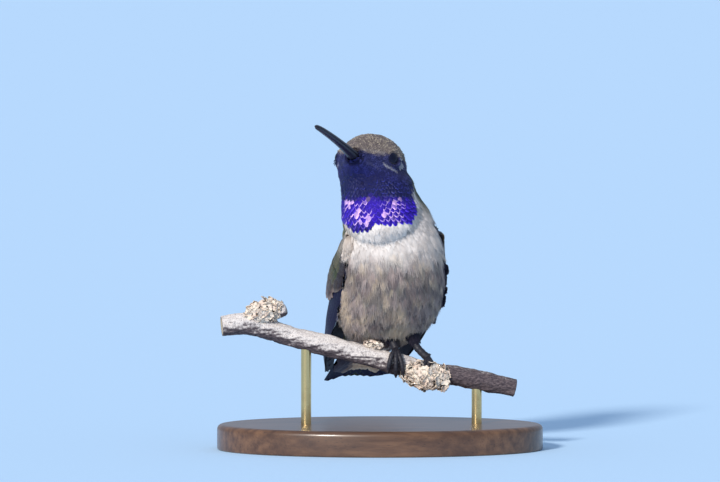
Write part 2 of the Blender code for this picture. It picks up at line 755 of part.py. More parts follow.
def main():
    """Clears the scene and builds the whole model."""
    for obj in list(bpy.data.objects):
        bpy.data.objects.remove(obj)
    bill_cutter = build_bill()
    sockets = build_eyes()
    wing_cutters = build_wings()
    add_object("tail", tail_mesh("tail"), "feather_dark")
    tail_cutter = add_object("tail cutter", tail_mesh("tail cutter", GAP))
    leg_cutters, foot_cutters = build_legs()
    branch_cutter = build_perch(foot_cutters)
    build_stand(branch_cutter)
    build_flesh(
        {
            "head": [bill_cutter, *sockets],
            "neck": [bill_cutter],
            "trunk": [*wing_cutters, tail_cutter, *leg_cutters, branch_cutter],
        }
    )


main()
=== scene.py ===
"""Looks of a life-size perched hummingbird model, with its cut branch and its display stand.

Sizes are in millimetres and are turned into metres where a mesh is made. The world has +Z up, its origin at the
centre of the stand's underside, the branch along X, and the bird's breast towards -Y.
"""

import json
import logging
import math
from dataclasses import dataclass, field
from enum import Enum
from typing import Callable, Iterable, Sequence

import bmesh
import bpy
import numpy as np
from mathutils import Matrix, Vector, bvhtree, kdtree, noise

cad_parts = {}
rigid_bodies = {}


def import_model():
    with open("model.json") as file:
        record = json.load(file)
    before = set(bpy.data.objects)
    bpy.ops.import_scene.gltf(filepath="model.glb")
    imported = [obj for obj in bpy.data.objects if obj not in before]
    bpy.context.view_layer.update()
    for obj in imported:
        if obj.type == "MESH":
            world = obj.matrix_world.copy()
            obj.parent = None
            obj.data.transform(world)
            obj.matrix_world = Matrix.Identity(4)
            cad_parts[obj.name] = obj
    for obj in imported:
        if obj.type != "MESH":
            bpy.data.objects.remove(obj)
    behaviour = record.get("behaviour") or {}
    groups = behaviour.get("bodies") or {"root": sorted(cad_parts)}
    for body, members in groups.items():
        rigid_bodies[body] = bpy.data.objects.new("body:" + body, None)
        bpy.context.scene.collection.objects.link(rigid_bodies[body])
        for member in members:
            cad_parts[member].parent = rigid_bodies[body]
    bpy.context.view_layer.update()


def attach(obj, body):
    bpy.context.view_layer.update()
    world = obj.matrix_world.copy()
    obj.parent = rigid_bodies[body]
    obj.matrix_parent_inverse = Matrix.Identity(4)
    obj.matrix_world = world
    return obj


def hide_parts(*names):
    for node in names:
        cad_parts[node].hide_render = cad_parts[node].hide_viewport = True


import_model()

MM = 0.001
BAKE_MAP = "OFBake"
NOWHERE = 99.0  # millimetres, farther than anything here
WELD = 1e-4  # millimetres
log = logging.getLogger("hummingbird")

Array = np.ndarray
Mesh, Object, Socket = bpy.types.Mesh, bpy.types.Object, bpy.types.NodeSocket
Colour = tuple[float, float, float]
Place = tuple[float, float, float]
Faces = list[tuple[int, ...]]


# ---------------- small maths


def unit(rows: Array) -> Array:
    """Rows scaled to length one."""
    return rows / np.maximum(np.linalg.norm(rows, axis=-1, keepdims=True), 1e-9)


def flat_on(flow: Array, normals: Array) -> Array:
    """Unit directions of a flow laid along the surface that has these normals."""
    return unit(flow - (flow * normals).sum(axis=1, keepdims=True) * normals)


def ramp(low: float, high: float, values: Array) -> Array:
    """Smooth step from 0 at low to 1 at high; high may be the smaller."""
    share = np.clip((np.asarray(values, float) - low) / (high - low), 0.0, 1.0)
    return share * share * (3.0 - 2.0 * share)


def full_turn(count: int) -> Array:
    """Angles of a whole turn in even steps."""
    return np.arange(count) * 2 * math.pi / count


def mix(first: Array, second: Array, share: Array) -> Array:
    """Turns first into second.

    Args:
        first: Values or colours.
        second: What they become.
        share: How far, one for all or one for each row.

    Returns:
        The mixed values or colours.
    """
    first, second, share = np.asarray(first, float), np.asarray(second, float), np.asarray(share, float)
    coloured = any(rows.ndim == 2 or rows.shape == (3,) for rows in (first, second))
    if coloured and share.ndim == 1:
        share = share[:, None]
    return first * (1.0 - share) + second * share


def wobble(points: Array, scale: float | Place, seed: float, octaves: int = 1) -> Array:
    """Smooth noise between about -1 and 1.

    Args:
        points: Places in millimetres, one row each.
        scale: Waves per millimetre, for all axes or one for each.
        seed: Offset that picks another noise.
        octaves: Layers, each twice as fine and half as strong.

    Returns:
        One value for each place.
    """
    seed_gap = 17.31
    placed = np.asarray(points, float) * np.asarray(scale, float) + seed * seed_gap
    if octaves == 1:
        return np.array([noise.noise(Vector(p)) for p in placed])
    return np.array([noise.fractal(Vector(p), 1.0, 2.0, octaves) for p in placed])


def smooth_rows(rows: Sequence[Sequence[float]], count: int) -> Array:
    """Reads rows evenly from a smooth curve through the given rows.

    Args:
        rows: The rows that the curve passes.
        count: How many to read.

    Returns:
        The rows read.
    """
    given = np.array(rows, float)
    padded = np.vstack((2 * given[0] - given[1], given, 2 * given[-1] - given[-2]))
    found = []
    for at in np.linspace(0, len(given) - 1, count):
        first = min(int(at), len(given) - 2)
        t = at - first
        a, b, c, d = padded[first : first + 4]
        bend, twist = 2 * a - 5 * b + 4 * c - d, 3 * b - a - 3 * c + d
        found.append(0.5 * (2 * b + (c - a) * t + bend * t**2 + twist * t**3))
    return np.array(found)


@dataclass(frozen=True)
class Heading:
    """A place with forward, left and up directions, angles in degrees."""

    origin: Place
    yaw: float
    pitch: float = 0.0

    @property
    def axes(self) -> Array:
        """The directions.

        Returns:
            Forward, left and up, one row each.
        """
        turn, rise = math.radians(self.yaw), math.radians(self.pitch)
        forward = np.array((math.sin(turn) * math.cos(rise), -math.cos(turn) * math.cos(rise), math.sin(rise)))
        left = np.array((math.cos(turn), math.sin(turn), 0.0))
        return np.array((forward, left, np.cross(forward, left)))

    def direction(self, local: Array) -> Array:
        """World directions of local ones."""
        return np.asarray(local, float) @ self.axes

    def point(self, local: Array) -> Array:
        """World places of local ones."""
        return np.array(self.origin) + self.direction(local)

    def local(self, points: Array) -> Array:
        """Forward, left and up of world places."""
        return (np.asarray(points, float) - np.array(self.origin)) @ self.axes.T


BODY = Heading((2.3, 0.5, 0.0), 13.0)
THROAT = Heading((-0.6, -5.2, 0.0), -17.0)
HEAD = Heading((-2.1, -5.4, 56.2), -25.5, 22.0)


# ---------------- meshes


def flat_faces(rows: int, columns: int, closed: bool = False) -> Faces:
    """Quads over a grid of points.

    Args:
        rows: Rows of points.
        columns: Points in a row.
        closed: Whether the rows are rings.

    Returns:
        The faces, row by row.
    """
    faces = []
    for r in range(rows - 1):
        for c in range(columns if closed else columns - 1):
            after = (c + 1) % columns
            faces.append((r * columns + c, r * columns + after, (r + 1) * columns + after, (r + 1) * columns + c))
    return faces


def capped_faces(rows: int, sides: int) -> Faces:
    """Faces of a tube whose points are followed by a pole for each end.

    Args:
        rows: Rings of points.
        sides: Points in a ring.

    Returns:
        The faces of the wall and of both ends.
    """
    count, last = rows * sides, (rows - 1) * sides
    faces = flat_faces(rows, sides, closed=True)
    faces += [((c + 1) % sides, c, count) for c in range(sides)]
    return faces + [(last + c, last + (c + 1) % sides, count + 1) for c in range(sides)]


def disc_faces(rings: int, sides: int) -> Faces:
    """Faces of a disc whose middle point comes before its rings.

    Args:
        rings: Rings of points, from the inside out.
        sides: Points in a ring.

    Returns:
        The faces.
    """
    faces = [(0, 1 + c, 1 + (c + 1) % sides) for c in range(sides)]
    for a, b, d, c in flat_faces(rings, sides, closed=True):
        faces.append((1 + a, 1 + c, 1 + d, 1 + b))
    return faces


def turned_over(faces: Faces, offset: int = 0) -> Faces:
    """Faces that look the other way, their numbers raised by offset."""
    return [tuple(offset + i for i in face[::-1]) for face in faces]


def plain_mesh(name: str, points: Array, faces: Faces, scale: float = MM) -> Mesh:
    """Makes a smooth-shaded mesh.

    Args:
        name: Its name.
        points: Places in millimetres.
        faces: Its faces.
        scale: What the places are multiplied by.

    Returns:
        The mesh.
    """
    mesh = bpy.data.meshes.new(name)
    mesh.from_pydata((np.asarray(points) * scale).tolist(), [], faces)
    mesh.shade_smooth()
    return mesh


def face_out(mesh: Mesh, merge: float = 0.0) -> Mesh:
    """Turns all the faces of a closed mesh outwards.

    Args:
        mesh: The mesh.
        merge: Millimetres within which points become one first; 0 leaves them.

    Returns:
        The same mesh.
    """
    work = bmesh.new()
    work.from_mesh(mesh)
    if merge:
        bmesh.ops.remove_doubles(work, verts=work.verts, dist=merge * MM)
    bmesh.ops.recalc_face_normals(work, faces=work.faces)
    work.to_mesh(mesh)
    work.free()
    return mesh


def add_object(name: str, data: bpy.types.ID) -> Object:
    """Puts a mesh, light or camera in the scene.

    Args:
        name: The object's name.
        data: What it holds.

    Returns:
        The object.
    """
    made = bpy.data.objects.new(name, data)
    bpy.context.scene.collection.objects.link(made)
    return made


def finished_mesh(host: Object, name: str) -> Mesh:
    """Applies an object's modifiers and removes the object.

    Args:
        host: The object.
        name: Name of the mesh.

    Returns:
        The plain mesh.
    """
    bpy.context.view_layer.update()
    graph = bpy.context.evaluated_depsgraph_get()
    shaped = host.evaluated_get(graph)
    mesh = bpy.data.meshes.new_from_object(shaped, preserve_all_data_layers=True, depsgraph=graph)
    mesh.name = name
    bpy.data.objects.remove(host)
    return mesh


def vertex_rows(mesh: Mesh) -> tuple[Array, Array]:
    """Reads a mesh's vertices.

    Args:
        mesh: The mesh.

    Returns:
        Their places in millimetres, and their normals.
    """
    places, normals = np.empty(3 * len(mesh.vertices)), np.empty(3 * len(mesh.vertices))
    mesh.vertices.foreach_get("co", places)
    mesh.vertex_normals.foreach_get("vector", normals)
    return places.reshape(-1, 3) / MM, normals.reshape(-1, 3)


def add_attribute(mesh: Mesh, name: str, rows: Array) -> None:
    """Stores a colour, vector or bake place for each vertex.

    Args:
        mesh: The mesh.
        name: Its name: tint and rim are colours and patch is the bake map.
        rows: One row for each vertex.
    """
    rows = np.asarray(rows, float)
    if name == "patch":
        index = np.empty(len(mesh.loops), int)
        mesh.loops.foreach_get("vertex_index", index)
        mesh.uv_layers.new(name=BAKE_MAP).data.foreach_set("uv", rows[index][:, :2].ravel())
    elif name in ("tint", "rim"):
        made = mesh.attributes.new(name, "FLOAT_COLOR", "POINT")
        made.data.foreach_set("color", np.hstack((rows, np.ones((len(rows), 1)))).ravel())
    else:
        made = mesh.attributes.new(name, "FLOAT_VECTOR", "POINT")
        made.data.foreach_set("vector", rows.ravel())


def present(mesh: Mesh, name: str, finish: "Finish", stands_for: Sequence[str] = ()) -> None:
    """Shows a mesh as a piece of the model.

    Args:
        mesh: Its shape, in place.
        name: The piece's name.
        finish: What its surface is.
        stands_for: CAD nodes that it replaces.
    """
    mesh.name = name
    mesh.materials.clear()
    mesh.materials.append(finish.material())
    piece = add_object(name, mesh)
    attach(piece, "root")
    if stands_for:
        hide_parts(*stands_for)
    log.info("%s: %d faces", name, len(mesh.polygons))


def ring_tube(line: Array, radii: Array, sides: int, squash: float = 1.0, up: Place = (0, 0, 1)) -> tuple[Array, Faces]:
    """Points and faces of a closed tube along a line.

    Args:
        line: Middle points.
        radii: One for each point.
        sides: Points round each ring.
        squash: Height of a ring over its width.
        up: Direction that the rings start upright to.

    Returns:
        The points, with a pole at each end, and the faces.
    """
    line, turn = np.asarray(line, float), full_turn(sides)[:, None]
    rings = []
    for k, centre in enumerate(line):
        along = unit(line[min(k + 1, len(line) - 1)] - line[max(k - 1, 0)])
        side = unit(np.cross(along, up))
        up = np.cross(side, along)
        rings.append(centre + radii[k] * (np.cos(turn) * side + squash * np.sin(turn) * up))
    return np.vstack((*rings, line[0], line[-1])), capped_faces(len(line), sides)


def vane_grid(across: Array, along: Array) -> Array:
    """A vane's own values over a grid: -1 to 1 across it, 0 at its root to 1 along it, and 0."""
    u, v = np.meshgrid(across, along)
    return np.column_stack((u.ravel(), v.ravel(), np.zeros(u.size)))


def spot_round(place: Sequence[float], values: Array) -> Array:
    """A small patch of the bake map about a place, spread by a vane's values."""
    return np.asarray(place) + values[:, :2] * (0.0015, 0.003)


@dataclass
class MeshPile:
    """Gathers shapes, with a value for each vertex, into one mesh."""

    points: list[Array] = field(default_factory=list)
    faces: Faces = field(default_factory=list)
    values: dict[str, list[Array]] = field(default_factory=dict)
    count: int = 0

    def add(self, points: Array, faces: Faces, **values: Array) -> None:
        """Adds a shape.

        Args:
            points: Its points in millimetres.
            faces: Its faces.
            **values: Values to store, one row for all its vertices or one row each.
        """
        self.points.append(points)
        self.faces += [tuple(self.count + i for i in face) for face in faces]
        for name, rows in values.items():
            full = np.broadcast_to(np.asarray(rows, float), (len(points), np.shape(rows)[-1]))
            self.values.setdefault(name, []).append(full)
        self.count += len(points)

    def mesh(self, name: str) -> Mesh:
        """The gathered mesh.

        Args:
            name: Its name.

        Returns:
            The mesh with its values.
        """
        made = plain_mesh(name, np.vstack(self.points), self.faces)
        for key, rows in self.values.items():
            add_attribute(made, key, np.vstack(rows))
        return made


# ---------------- finishes

Value = Socket | float | Colour


def feed(tree: bpy.types.NodeTree, socket: Socket, value: Value) -> None:
    """Links an output to a socket, or sets the socket's own value.

    Args:
        tree: The nodes' tree.
        socket: The input.
        value: An output, a number, a colour, a name or a switch.
    """
    if isinstance(value, Socket):
        tree.links.new(value, socket)
    elif isinstance(value, tuple) and len(value) == 3 and socket.type == "RGBA":
        socket.default_value = (*value, 1.0)
    else:
        socket.default_value = value


def add_node(tree: bpy.types.NodeTree, kind: str, inputs: dict[int | str, Value], **options: object) -> bpy.types.Node:
    """Adds a node.

    Args:
        tree: Where it goes.
        kind: Its type.
        inputs: What its inputs are fed, by name or number.
        **options: Its other settings.

    Returns:
        The node.
    """
    made = tree.nodes.new(kind)
    for name, value in options.items():
        setattr(made, name, value)
    for name, value in inputs.items():
        feed(tree, made.inputs[name], value)
    return made


class Graph:
    """A material's nodes, with short calls to add and join them."""

    def __init__(self, name: str) -> None:
        """Starts a material with its Principled shader.

        Args:
            name: The material's name.
        """
        self.material = bpy.data.materials.new(name)
        self.material.use_nodes = True
        self.tree = self.material.node_tree
        self.shader = self.tree.nodes["Principled BSDF"]

    def set(self, **sockets: Value) -> None:
        """Sets the shader's sockets, named with _ for a space; a node output is linked and a value set."""
        for name, value in sockets.items():
            feed(self.tree, self.shader.inputs[name.replace("_", " ")], value)

    def node(self, kind: str, inputs: dict[int | str, Value], **options: object) -> bpy.types.Node:
        """Adds a shader node with its inputs and options."""
        return add_node(self.tree, f"ShaderNode{kind}", inputs, **options)

    def math(self, operation: str, *values: Value) -> Socket:
        """One arithmetic step."""
        return self.node("Math", dict(enumerate(values)), operation=operation).outputs[0]

    def times(self, first: Value, second: Value) -> Socket:
        """Two values multiplied."""
        return self.math("MULTIPLY", first, second)

    def plus(self, first: Value, second: Value) -> Socket:
        """Two values added."""
        return self.math("ADD", first, second)

    def blend(self, share: Value, first: Value, second: Value, mode: str = "MIX") -> Socket:
        """Two colours mixed by share."""
        colours = {0: share, 6: first, 7: second}
        return self.node("Mix", colours, data_type="RGBA", blend_type=mode).outputs[2]

    def step(self, low: float, high: float, value: Value, top: float = 1.0) -> Socket:
        """Smooth step of a value from 0 at low to top at high."""
        limits = {0: value, 1: low, 2: high, 3: 0.0, 4: top}
        return self.node("MapRange", limits, interpolation_type="SMOOTHSTEP").outputs[0]

    def stored(self, name: str, output: str = "Color") -> Socket:
        """A value stored on the mesh."""
        return self.node("Attribute", {}, attribute_name=name, attribute_type="GEOMETRY").outputs[output]

    def split(self, vector: Value) -> bpy.types.NodeOutputs:
        """The three parts of a vector."""
        return self.node("SeparateXYZ", {0: vector}).outputs

    def place(self, scale: Place = (1.0, 1.0, 1.0), turn: float = 0.0) -> Socket:
        """Object coordinates in millimetres, stretched and turned about Z."""
        stretch = {"Scale": tuple(s / MM for s in scale), "Rotation": (0.0, 0.0, turn)}
        return self.node("Mapping", {"Vector": self.object_place(), **stretch}).outputs[0]

    def object_place(self) -> Socket:
        """Object coordinates in metres."""
        return self.node("TexCoord", {}).outputs["Object"]

    def noise(self, vector: Value, scale: float, detail: float = 4.0, rough: float = 0.55) -> Socket:
        """Cloudy noise from 0 to 1."""
        sockets = {"Vector": vector, "Scale": scale, "Detail": detail, "Roughness": rough}
        return self.node("TexNoise", sockets).outputs[0]

    def bump(self, height: Value, strength: float, distance: float) -> Socket:
        """A bumped normal; distance is in millimetres."""
        return self.node("Bump", {"Height": height, "Strength": strength, "Distance": distance * MM}).outputs[0]


@dataclass(frozen=True)
class Finish:
    """A surface finish with the record's slot for it. Each kind draws itself once and is shared by name."""

    name: str
    slot: str

    def material(self) -> bpy.types.Material:
        """The finish as a material.

        Returns:
            The material, made when it is first asked for.
        """
        found = bpy.data.materials.get(self.name)
        if found:
            return found
        graph = Graph(self.name)
        self.draw(graph)
        return graph.material

    def draw(self, graph: Graph) -> None:
        """Adds the finish's nodes."""
        raise NotImplementedError


@dataclass(frozen=True)
class Plumage(Finish):
    """Feather vanes that carry their own two colours, with barbs and a shaft."""

    barbs: float = 26.0
    rough: float = 0.62
    metal: float = 0.0
    sheen: float = 0.25
    rim_from: float = 0.62
    rim_full: float = 0.97
    shaft: float = 0.25
    down: float = 0.45
    shine: float = 0.2

    def draw(self, graph: Graph) -> None:
        """Tint in the middle of a vane, rim colour round its edge, darker at its root, ribbed by barbs.

        Args:
            graph: The material's nodes.
        """
        vane = graph.split(graph.stored("vane", "Vector"))
        across, along = graph.math("ABSOLUTE", vane[0]), vane[1]
        slant = graph.plus(graph.times(along, self.barbs), graph.times(across, -5.0))
        rib = graph.math("SINE", graph.times(slant, 2 * math.pi))
        reach = graph.plus(graph.times(along, 0.82), graph.times(across, 0.18))
        edge = graph.step(self.rim_from, self.rim_full, reach)
        colour = graph.blend(edge, graph.stored("tint"), graph.stored("rim"))
        lit = graph.plus(graph.step(0.0, 0.42, along, 1.0 - self.down), self.down)
        ribbed = graph.times(lit, graph.plus(graph.times(rib, 0.07), 0.95))
        shade = graph.times(ribbed, graph.math("SUBTRACT", 1.0, graph.step(0.10, 0.03, across, self.shaft)))
        grey = graph.node("CombineColor", {0: shade, 1: shade, 2: shade}).outputs[0]
        graph.set(
            Base_Color=graph.blend(1.0, colour, grey, "MULTIPLY"),
            Roughness=self.rough,
            Metallic=self.metal,
            Specular_IOR_Level=self.shine,
            Sheen_Weight=self.sheen,
            Sheen_Roughness=0.4,
            Normal=graph.bump(rib, 0.35, 0.05),
        )


@dataclass(frozen=True)
class Skin(Finish):
    """Downy skin under the coat, in the coat's own colours."""

    def draw(self, graph: Graph) -> None:
        """The stored tint, mottled finely.

        Args:
            graph: The material's nodes.
        """
        fluff = graph.noise(graph.place(), 3.0, 5.0, 0.7)
        colour = graph.blend(graph.step(0.3, 0.7, fluff, 0.45), graph.stored("tint"), (0.03, 0.027, 0.028))
        graph.set(Base_Color=colour, Roughness=0.95, Specular_IOR_Level=0.05, Normal=graph.bump(fluff, 0.5, 0.12))


@dataclass(frozen=True)
class Horn(Finish):
    """Black horn of bill, toes and claws."""

    dark: Colour
    worn: Colour
    rough: float
    gloss: float

    def draw(self, graph: Graph) -> None:
        """Black with faint worn streaks and small pits.

        Args:
            graph: The material's nodes.
        """
        place = graph.place()
        streak, pits = graph.noise(place, 2.2, 6.0, 0.65), graph.noise(place, 9.0, 2.0)
        graph.set(
            Base_Color=graph.blend(graph.step(0.45, 0.75, streak, 0.8), self.dark, self.worn),
            Roughness=graph.plus(graph.times(streak, 0.22), self.rough - 0.1),
            Coat_Weight=self.gloss,
            Coat_Roughness=0.2,
            Normal=graph.bump(graph.plus(streak, graph.times(pits, 0.4)), 0.3, 0.06),
        )


@dataclass(frozen=True)
class EyeGloss(Finish):
    """A wet, very dark eye; its stored tint tells pupil from iris."""

    def draw(self, graph: Graph) -> None:
        """Fine flecks under a clear wet coat.

        Args:
            graph: The material's nodes.
        """
        flecks = graph.step(0.35, 0.8, graph.noise(graph.place(), 6.0, 3.0), 0.5)
        colour = graph.blend(flecks, graph.stored("tint"), (0.006, 0.004, 0.003))
        graph.set(Base_Color=colour, Roughness=0.3, Specular_IOR_Level=0.05, Coat_Weight=0.3, Coat_Roughness=0.03)


@dataclass(frozen=True)
class Bark(Finish):
    """Weathered bark: whitish crust above, brown-grey below, with fine cracks along the branch; the pale top and dark
    underside are partly real crust and partly painted light and shade.
    """

    slope: float = 0.24

    def draw(self, graph: Graph) -> None:
        """Crust where the surface looks up, partly real and partly painted light, broken by patches, specks and cracks.

        Args:
            graph: The material's nodes.
        """
        place = graph.place(turn=self.slope)
        patch = graph.noise(place, 0.42, 6.0, 0.6)
        fibre = graph.noise(graph.place((0.7, 1.6, 1.6), self.slope), 2.3, 8.0, 0.65)
        speck = graph.noise(place, 1.9, 3.0, 0.65)
        grit = graph.noise(graph.place((1.7, 1.0, 0.8), self.slope), 3.4, 3.0, 0.6)
        up = graph.split(graph.node("NewGeometry", {}).outputs["Normal"])[2]
        side = graph.split(graph.object_place())[0]
        leftward = graph.math("SUBTRACT", graph.step(0.014, -0.002, side, 0.66), 0.36)
        mottle = graph.plus(graph.times(patch, 0.55), graph.times(speck, 0.70))
        # partly painted light and shade: crust favours up-facing surface, so the underside stays dark
        facing = graph.plus(graph.times(up, 0.50), mottle)
        crust = graph.step(0.66, 1.06, graph.plus(facing, leftward))
        under = graph.blend(graph.step(0.35, 0.68, fibre), (0.040, 0.028, 0.036), (0.165, 0.125, 0.128))
        pale = graph.blend(graph.step(0.30, 0.55, grit), (0.340, 0.290, 0.285), (0.800, 0.730, 0.680))
        colour = graph.blend(crust, under, pale)
        colour = graph.blend(graph.step(0.56, 0.66, grit, 0.8), colour, (0.085, 0.066, 0.072))
        height = graph.plus(graph.times(fibre, 0.8), graph.times(speck, 0.35))
        graph.set(Base_Color=colour, Roughness=0.88, Normal=graph.bump(height, 0.65, 0.22))


@dataclass(frozen=True)
class CutWood(Finish):
    """Pale sawn end of the branch, with rings."""

    def draw(self, graph: Graph) -> None:
        """Rings read from the stored vane value, the distance from the pith.

        Args:
            graph: The material's nodes.
        """
        grain = graph.noise(graph.place(), 3.0, 5.0, 0.6)
        far = graph.plus(graph.split(graph.stored("vane", "Vector"))[0], graph.times(grain, 0.09))
        ring = graph.math("SINE", graph.times(far, 44.0))
        colour = graph.blend(graph.step(-0.5, 0.9, ring), (0.46, 0.33, 0.20), (0.62, 0.49, 0.33))
        colour = graph.blend(graph.step(0.14, 0.05, far), colour, (0.20, 0.12, 0.07))
        colour = graph.blend(graph.step(0.86, 0.93, far), colour, (0.14, 0.10, 0.08))
        graph.set(Base_Color=colour, Roughness=0.8, Normal=graph.bump(grain, 0.4, 0.05))


@dataclass(frozen=True)
class LichenCrust(Finish):
    """Dry lichen, cream above and near black in its folds, partly its own dark underside and partly painted shade."""

    pale: Colour = (0.88, 0.76, 0.62)
    pink: Colour = (0.74, 0.57, 0.46)
    dark: Colour = (0.040, 0.030, 0.034)

    def draw(self, graph: Graph) -> None:
        """Cream lobes with powdery tips, pinker in patches and dark at their roots, partly as painted shade.

        Args:
            graph: The material's nodes.
        """
        place = graph.place()
        grain = graph.noise(place, 5.5, 4.0, 0.7)
        body = graph.blend(graph.step(0.35, 0.70, graph.noise(place, 0.7, 4.0)), self.pale, self.pink)
        body = graph.blend(graph.step(0.45, 0.75, grain, 0.5), body, (0.95, 0.90, 0.82))
        reach = graph.plus(graph.split(graph.stored("vane", "Vector"))[1], graph.times(grain, 0.25))
        # dark at the lobes' roots and undersides: the lichen's own dark underside and painted shade in the folds
        colour = graph.blend(graph.step(0.62, 0.16, reach), body, self.dark)
        graph.set(Base_Color=colour, Roughness=0.92, Normal=graph.bump(grain, 0.7, 0.12))


@dataclass(frozen=True)
class StainedWood(Finish):
    """The base's dark stained hardwood under satin varnish."""

    def draw(self, graph: Graph) -> None:
        """Long grain with darker pores along X.

        Args:
            graph: The material's nodes.
        """
        grain = graph.noise(graph.place((0.055, 0.8, 0.5)), 1.3, 8.0, 0.6)
        wave = {"Scale": 1.0, "Distortion": 5.0, "Detail": 3.0, "Detail Scale": 1.2}
        rings = graph.node("TexWave", {"Vector": graph.place((0.012, 0.34, 0.30)), **wave}).outputs[1]
        pores = graph.noise(graph.place((0.10, 3.2, 2.4)), 2.0, 3.0, 0.5)
        colour = graph.blend(graph.step(0.25, 0.75, grain), (0.070, 0.030, 0.014), (0.190, 0.092, 0.043))
        colour = graph.blend(graph.times(rings, 0.45), colour, (0.050, 0.021, 0.011))
        graph.set(
            Base_Color=graph.blend(graph.step(0.60, 0.72, pores, 0.7), colour, (0.022, 0.010, 0.006)),
            Roughness=graph.plus(graph.times(pores, 0.18), 0.28),
            Coat_Weight=0.4,
            Coat_Roughness=0.16,
            Normal=graph.bump(pores, 0.12, 0.05),
        )


@dataclass(frozen=True)
class PolishedBrass(Finish):
    """Turned brass rod."""

    def draw(self, graph: Graph) -> None:
        """Fine lathe lines and a few tarnished clouds.

        Args:
            graph: The material's nodes.
        """
        cloud = graph.noise(graph.place(), 0.35, 4.0)
        graph.set(
            Base_Color=graph.blend(graph.step(0.45, 0.75, cloud, 0.6), (0.76, 0.55, 0.25), (0.50, 0.33, 0.15)),
            Metallic=1.0,
            Roughness=graph.plus(graph.times(cloud, 0.22), 0.14),
            Normal=graph.bump(graph.noise(graph.place((0.2, 0.2, 9.0)), 2.0, 3.0), 0.12, 0.03),
        )


@dataclass(frozen=True)
class Paper(Finish):
    """The studio's plain sweep."""

    colour: Colour = (0.54, 0.758, 0.988)

    def draw(self, graph: Graph) -> None:
        """One pale tone with the slightest tooth.

        Args:
            graph: The material's nodes.
        """
        tooth = graph.noise(graph.place(), 0.8, 2.0)
        colour = graph.blend(graph.times(tooth, 0.03), self.colour, (1.0, 1.0, 1.0))
        graph.set(Base_Color=colour, Roughness=0.95, Normal=graph.bump(tooth, 0.05, 0.05))


# ---------------- pattern


def paint(red: float, green: float, blue: float) -> Colour:
    """Linear colour of screen values from 0 to 255."""
    screen = np.array((red, green, blue), float) / 255.0
    return tuple(np.where(screen <= 0.04045, screen / 12.92, ((screen + 0.055) / 1.055) ** 2.4))


def line_distance(points: Array, line: Sequence[Place]) -> Array:
    """Distance of each point from the nearest of a line's densely read places."""
    read = smooth_rows(line, 12 * len(line)) if len(line) > 2 else np.linspace(line[0], line[1], 24)
    return np.sqrt(((points[:, None, :] - read[None]) ** 2).sum(axis=2)).min(axis=1)


@dataclass(frozen=True)
class Spine:
    """The line through the bird from its bill to its tail, which the coat flows along."""

    samples: int = 200
    reach: float = 1.6
    in_head: tuple[Place, ...] = ((9.0, 0, -0.8), (4.0, 0, -0.8), (-1.0, 0, -1.5))
    in_throat: tuple[Place, ...] = ((0.2, -0.2, 52.5), (0.5, 0.5, 48.0))
    in_body: tuple[Place, ...] = (
        (3, -0.9, 42.2), (1.8, -0.2, 36.6), (-2, 0, 31.2), (-7.5, 0, 27.2),
        (-13, 0, 24.0), (-17.5, 0, 20.9), (-25, 0, 15.6), (-33, 0, 9.8),
    )

    @property
    def line(self) -> Array:
        """Its places, evenly read."""
        knots = (*HEAD.point(self.in_head), *THROAT.point(self.in_throat), *BODY.point(self.in_body))
        return smooth_rows(knots, self.samples)

    def follow(self, points: Array, normals: Array) -> tuple[Array, Array]:
        """The coat's lie at places on the skin.

        Args:
            points: Places.
            normals: The skin's outward directions there.

        Returns:
            Unit directions along the skin, and a place for each on an unwrap of the skin: turn round the
            spine, and share of its length.
        """
        line, at_once = self.line, 4000
        tangents = unit(np.gradient(line, axis=0))
        flows, turns = [], []
        for k in range(0, len(points), at_once):
            part = points[k : k + at_once]
            gap = np.sqrt(((part[:, None] - line[None]) ** 2).sum(axis=2))
            weight = np.exp(-(gap - gap.min(axis=1, keepdims=True)) / self.reach)
            weight /= weight.sum(axis=1, keepdims=True)
            flow = weight @ tangents
            out = part - weight @ line
            along = unit(flow)
            left = unit(BODY.axes[1] - (along @ BODY.axes[1])[:, None] * along)
            front = np.cross(left, along)
            turn = np.arctan2((out * left).sum(axis=1), (out * front).sum(axis=1))
            share = (weight * np.linspace(0, 1, self.samples)).sum(axis=1)
            flows.append(flow)
            turns.append(np.column_stack((0.5 + turn / (2 * math.pi) * 0.96, 0.02 + 0.95 * share)))
        return flat_on(np.vstack(flows), normals), np.vstack(turns)


SPINE = Spine()


@dataclass(frozen=True)
class EyeSeat:
    """Where the eyes sit, in the head's frame."""

    forward: float = 1.75
    aside: float = 4.98
    above: float = 0.5
    radius: float = 1.65
    opening: float = 1.16
    looking: Place = (0.48, 0.875, 0.06)

    def centre(self, side: int) -> Array:
        """The ball's middle in the world; side is 1 for the bird's left."""
        return HEAD.point((self.forward, side * self.aside, self.above))

    def axis(self, side: int) -> Array:
        """The way the eye looks."""
        return unit(HEAD.direction(np.array(self.looking) * (1, side, 1)))

    def tell(self, points: Array, side: int) -> tuple[Array, Array, Array]:
        """Tells places by one eye.

        Args:
            points: Places.
            side: 1 for the bird's left eye, -1 for its right.

        Returns:
            Offsets from the ball's middle, how far they go along the eye's axis, and their parts square to it.
        """
        away = points - self.centre(side)
        along = away @ self.axis(side)
        return away, along, away - along[:, None] * self.axis(side)

    def off_axis(self, points: Array) -> Array:
        """Distance from the nearer eye's axis.

        Args:
            points: Places.

        Returns:
            The distance in millimetres, or a large one where neither eye's outer side is near.
        """
        found, front = np.full(len(points), NOWHERE), 6.0
        for side in (1, -1):
            _, along, off = self.tell(points, side)
            nearer = np.minimum(found, np.linalg.norm(off, axis=1))
            found = np.where((along > 0) & (along < front), nearer, found)
        return found

    def facing(self, normals: Array) -> Array:
        """How far directions agree with the nearer eye's axis."""
        return np.max([normals @ self.axis(side) for side in (1, -1)], axis=0)


EYES = EyeSeat()

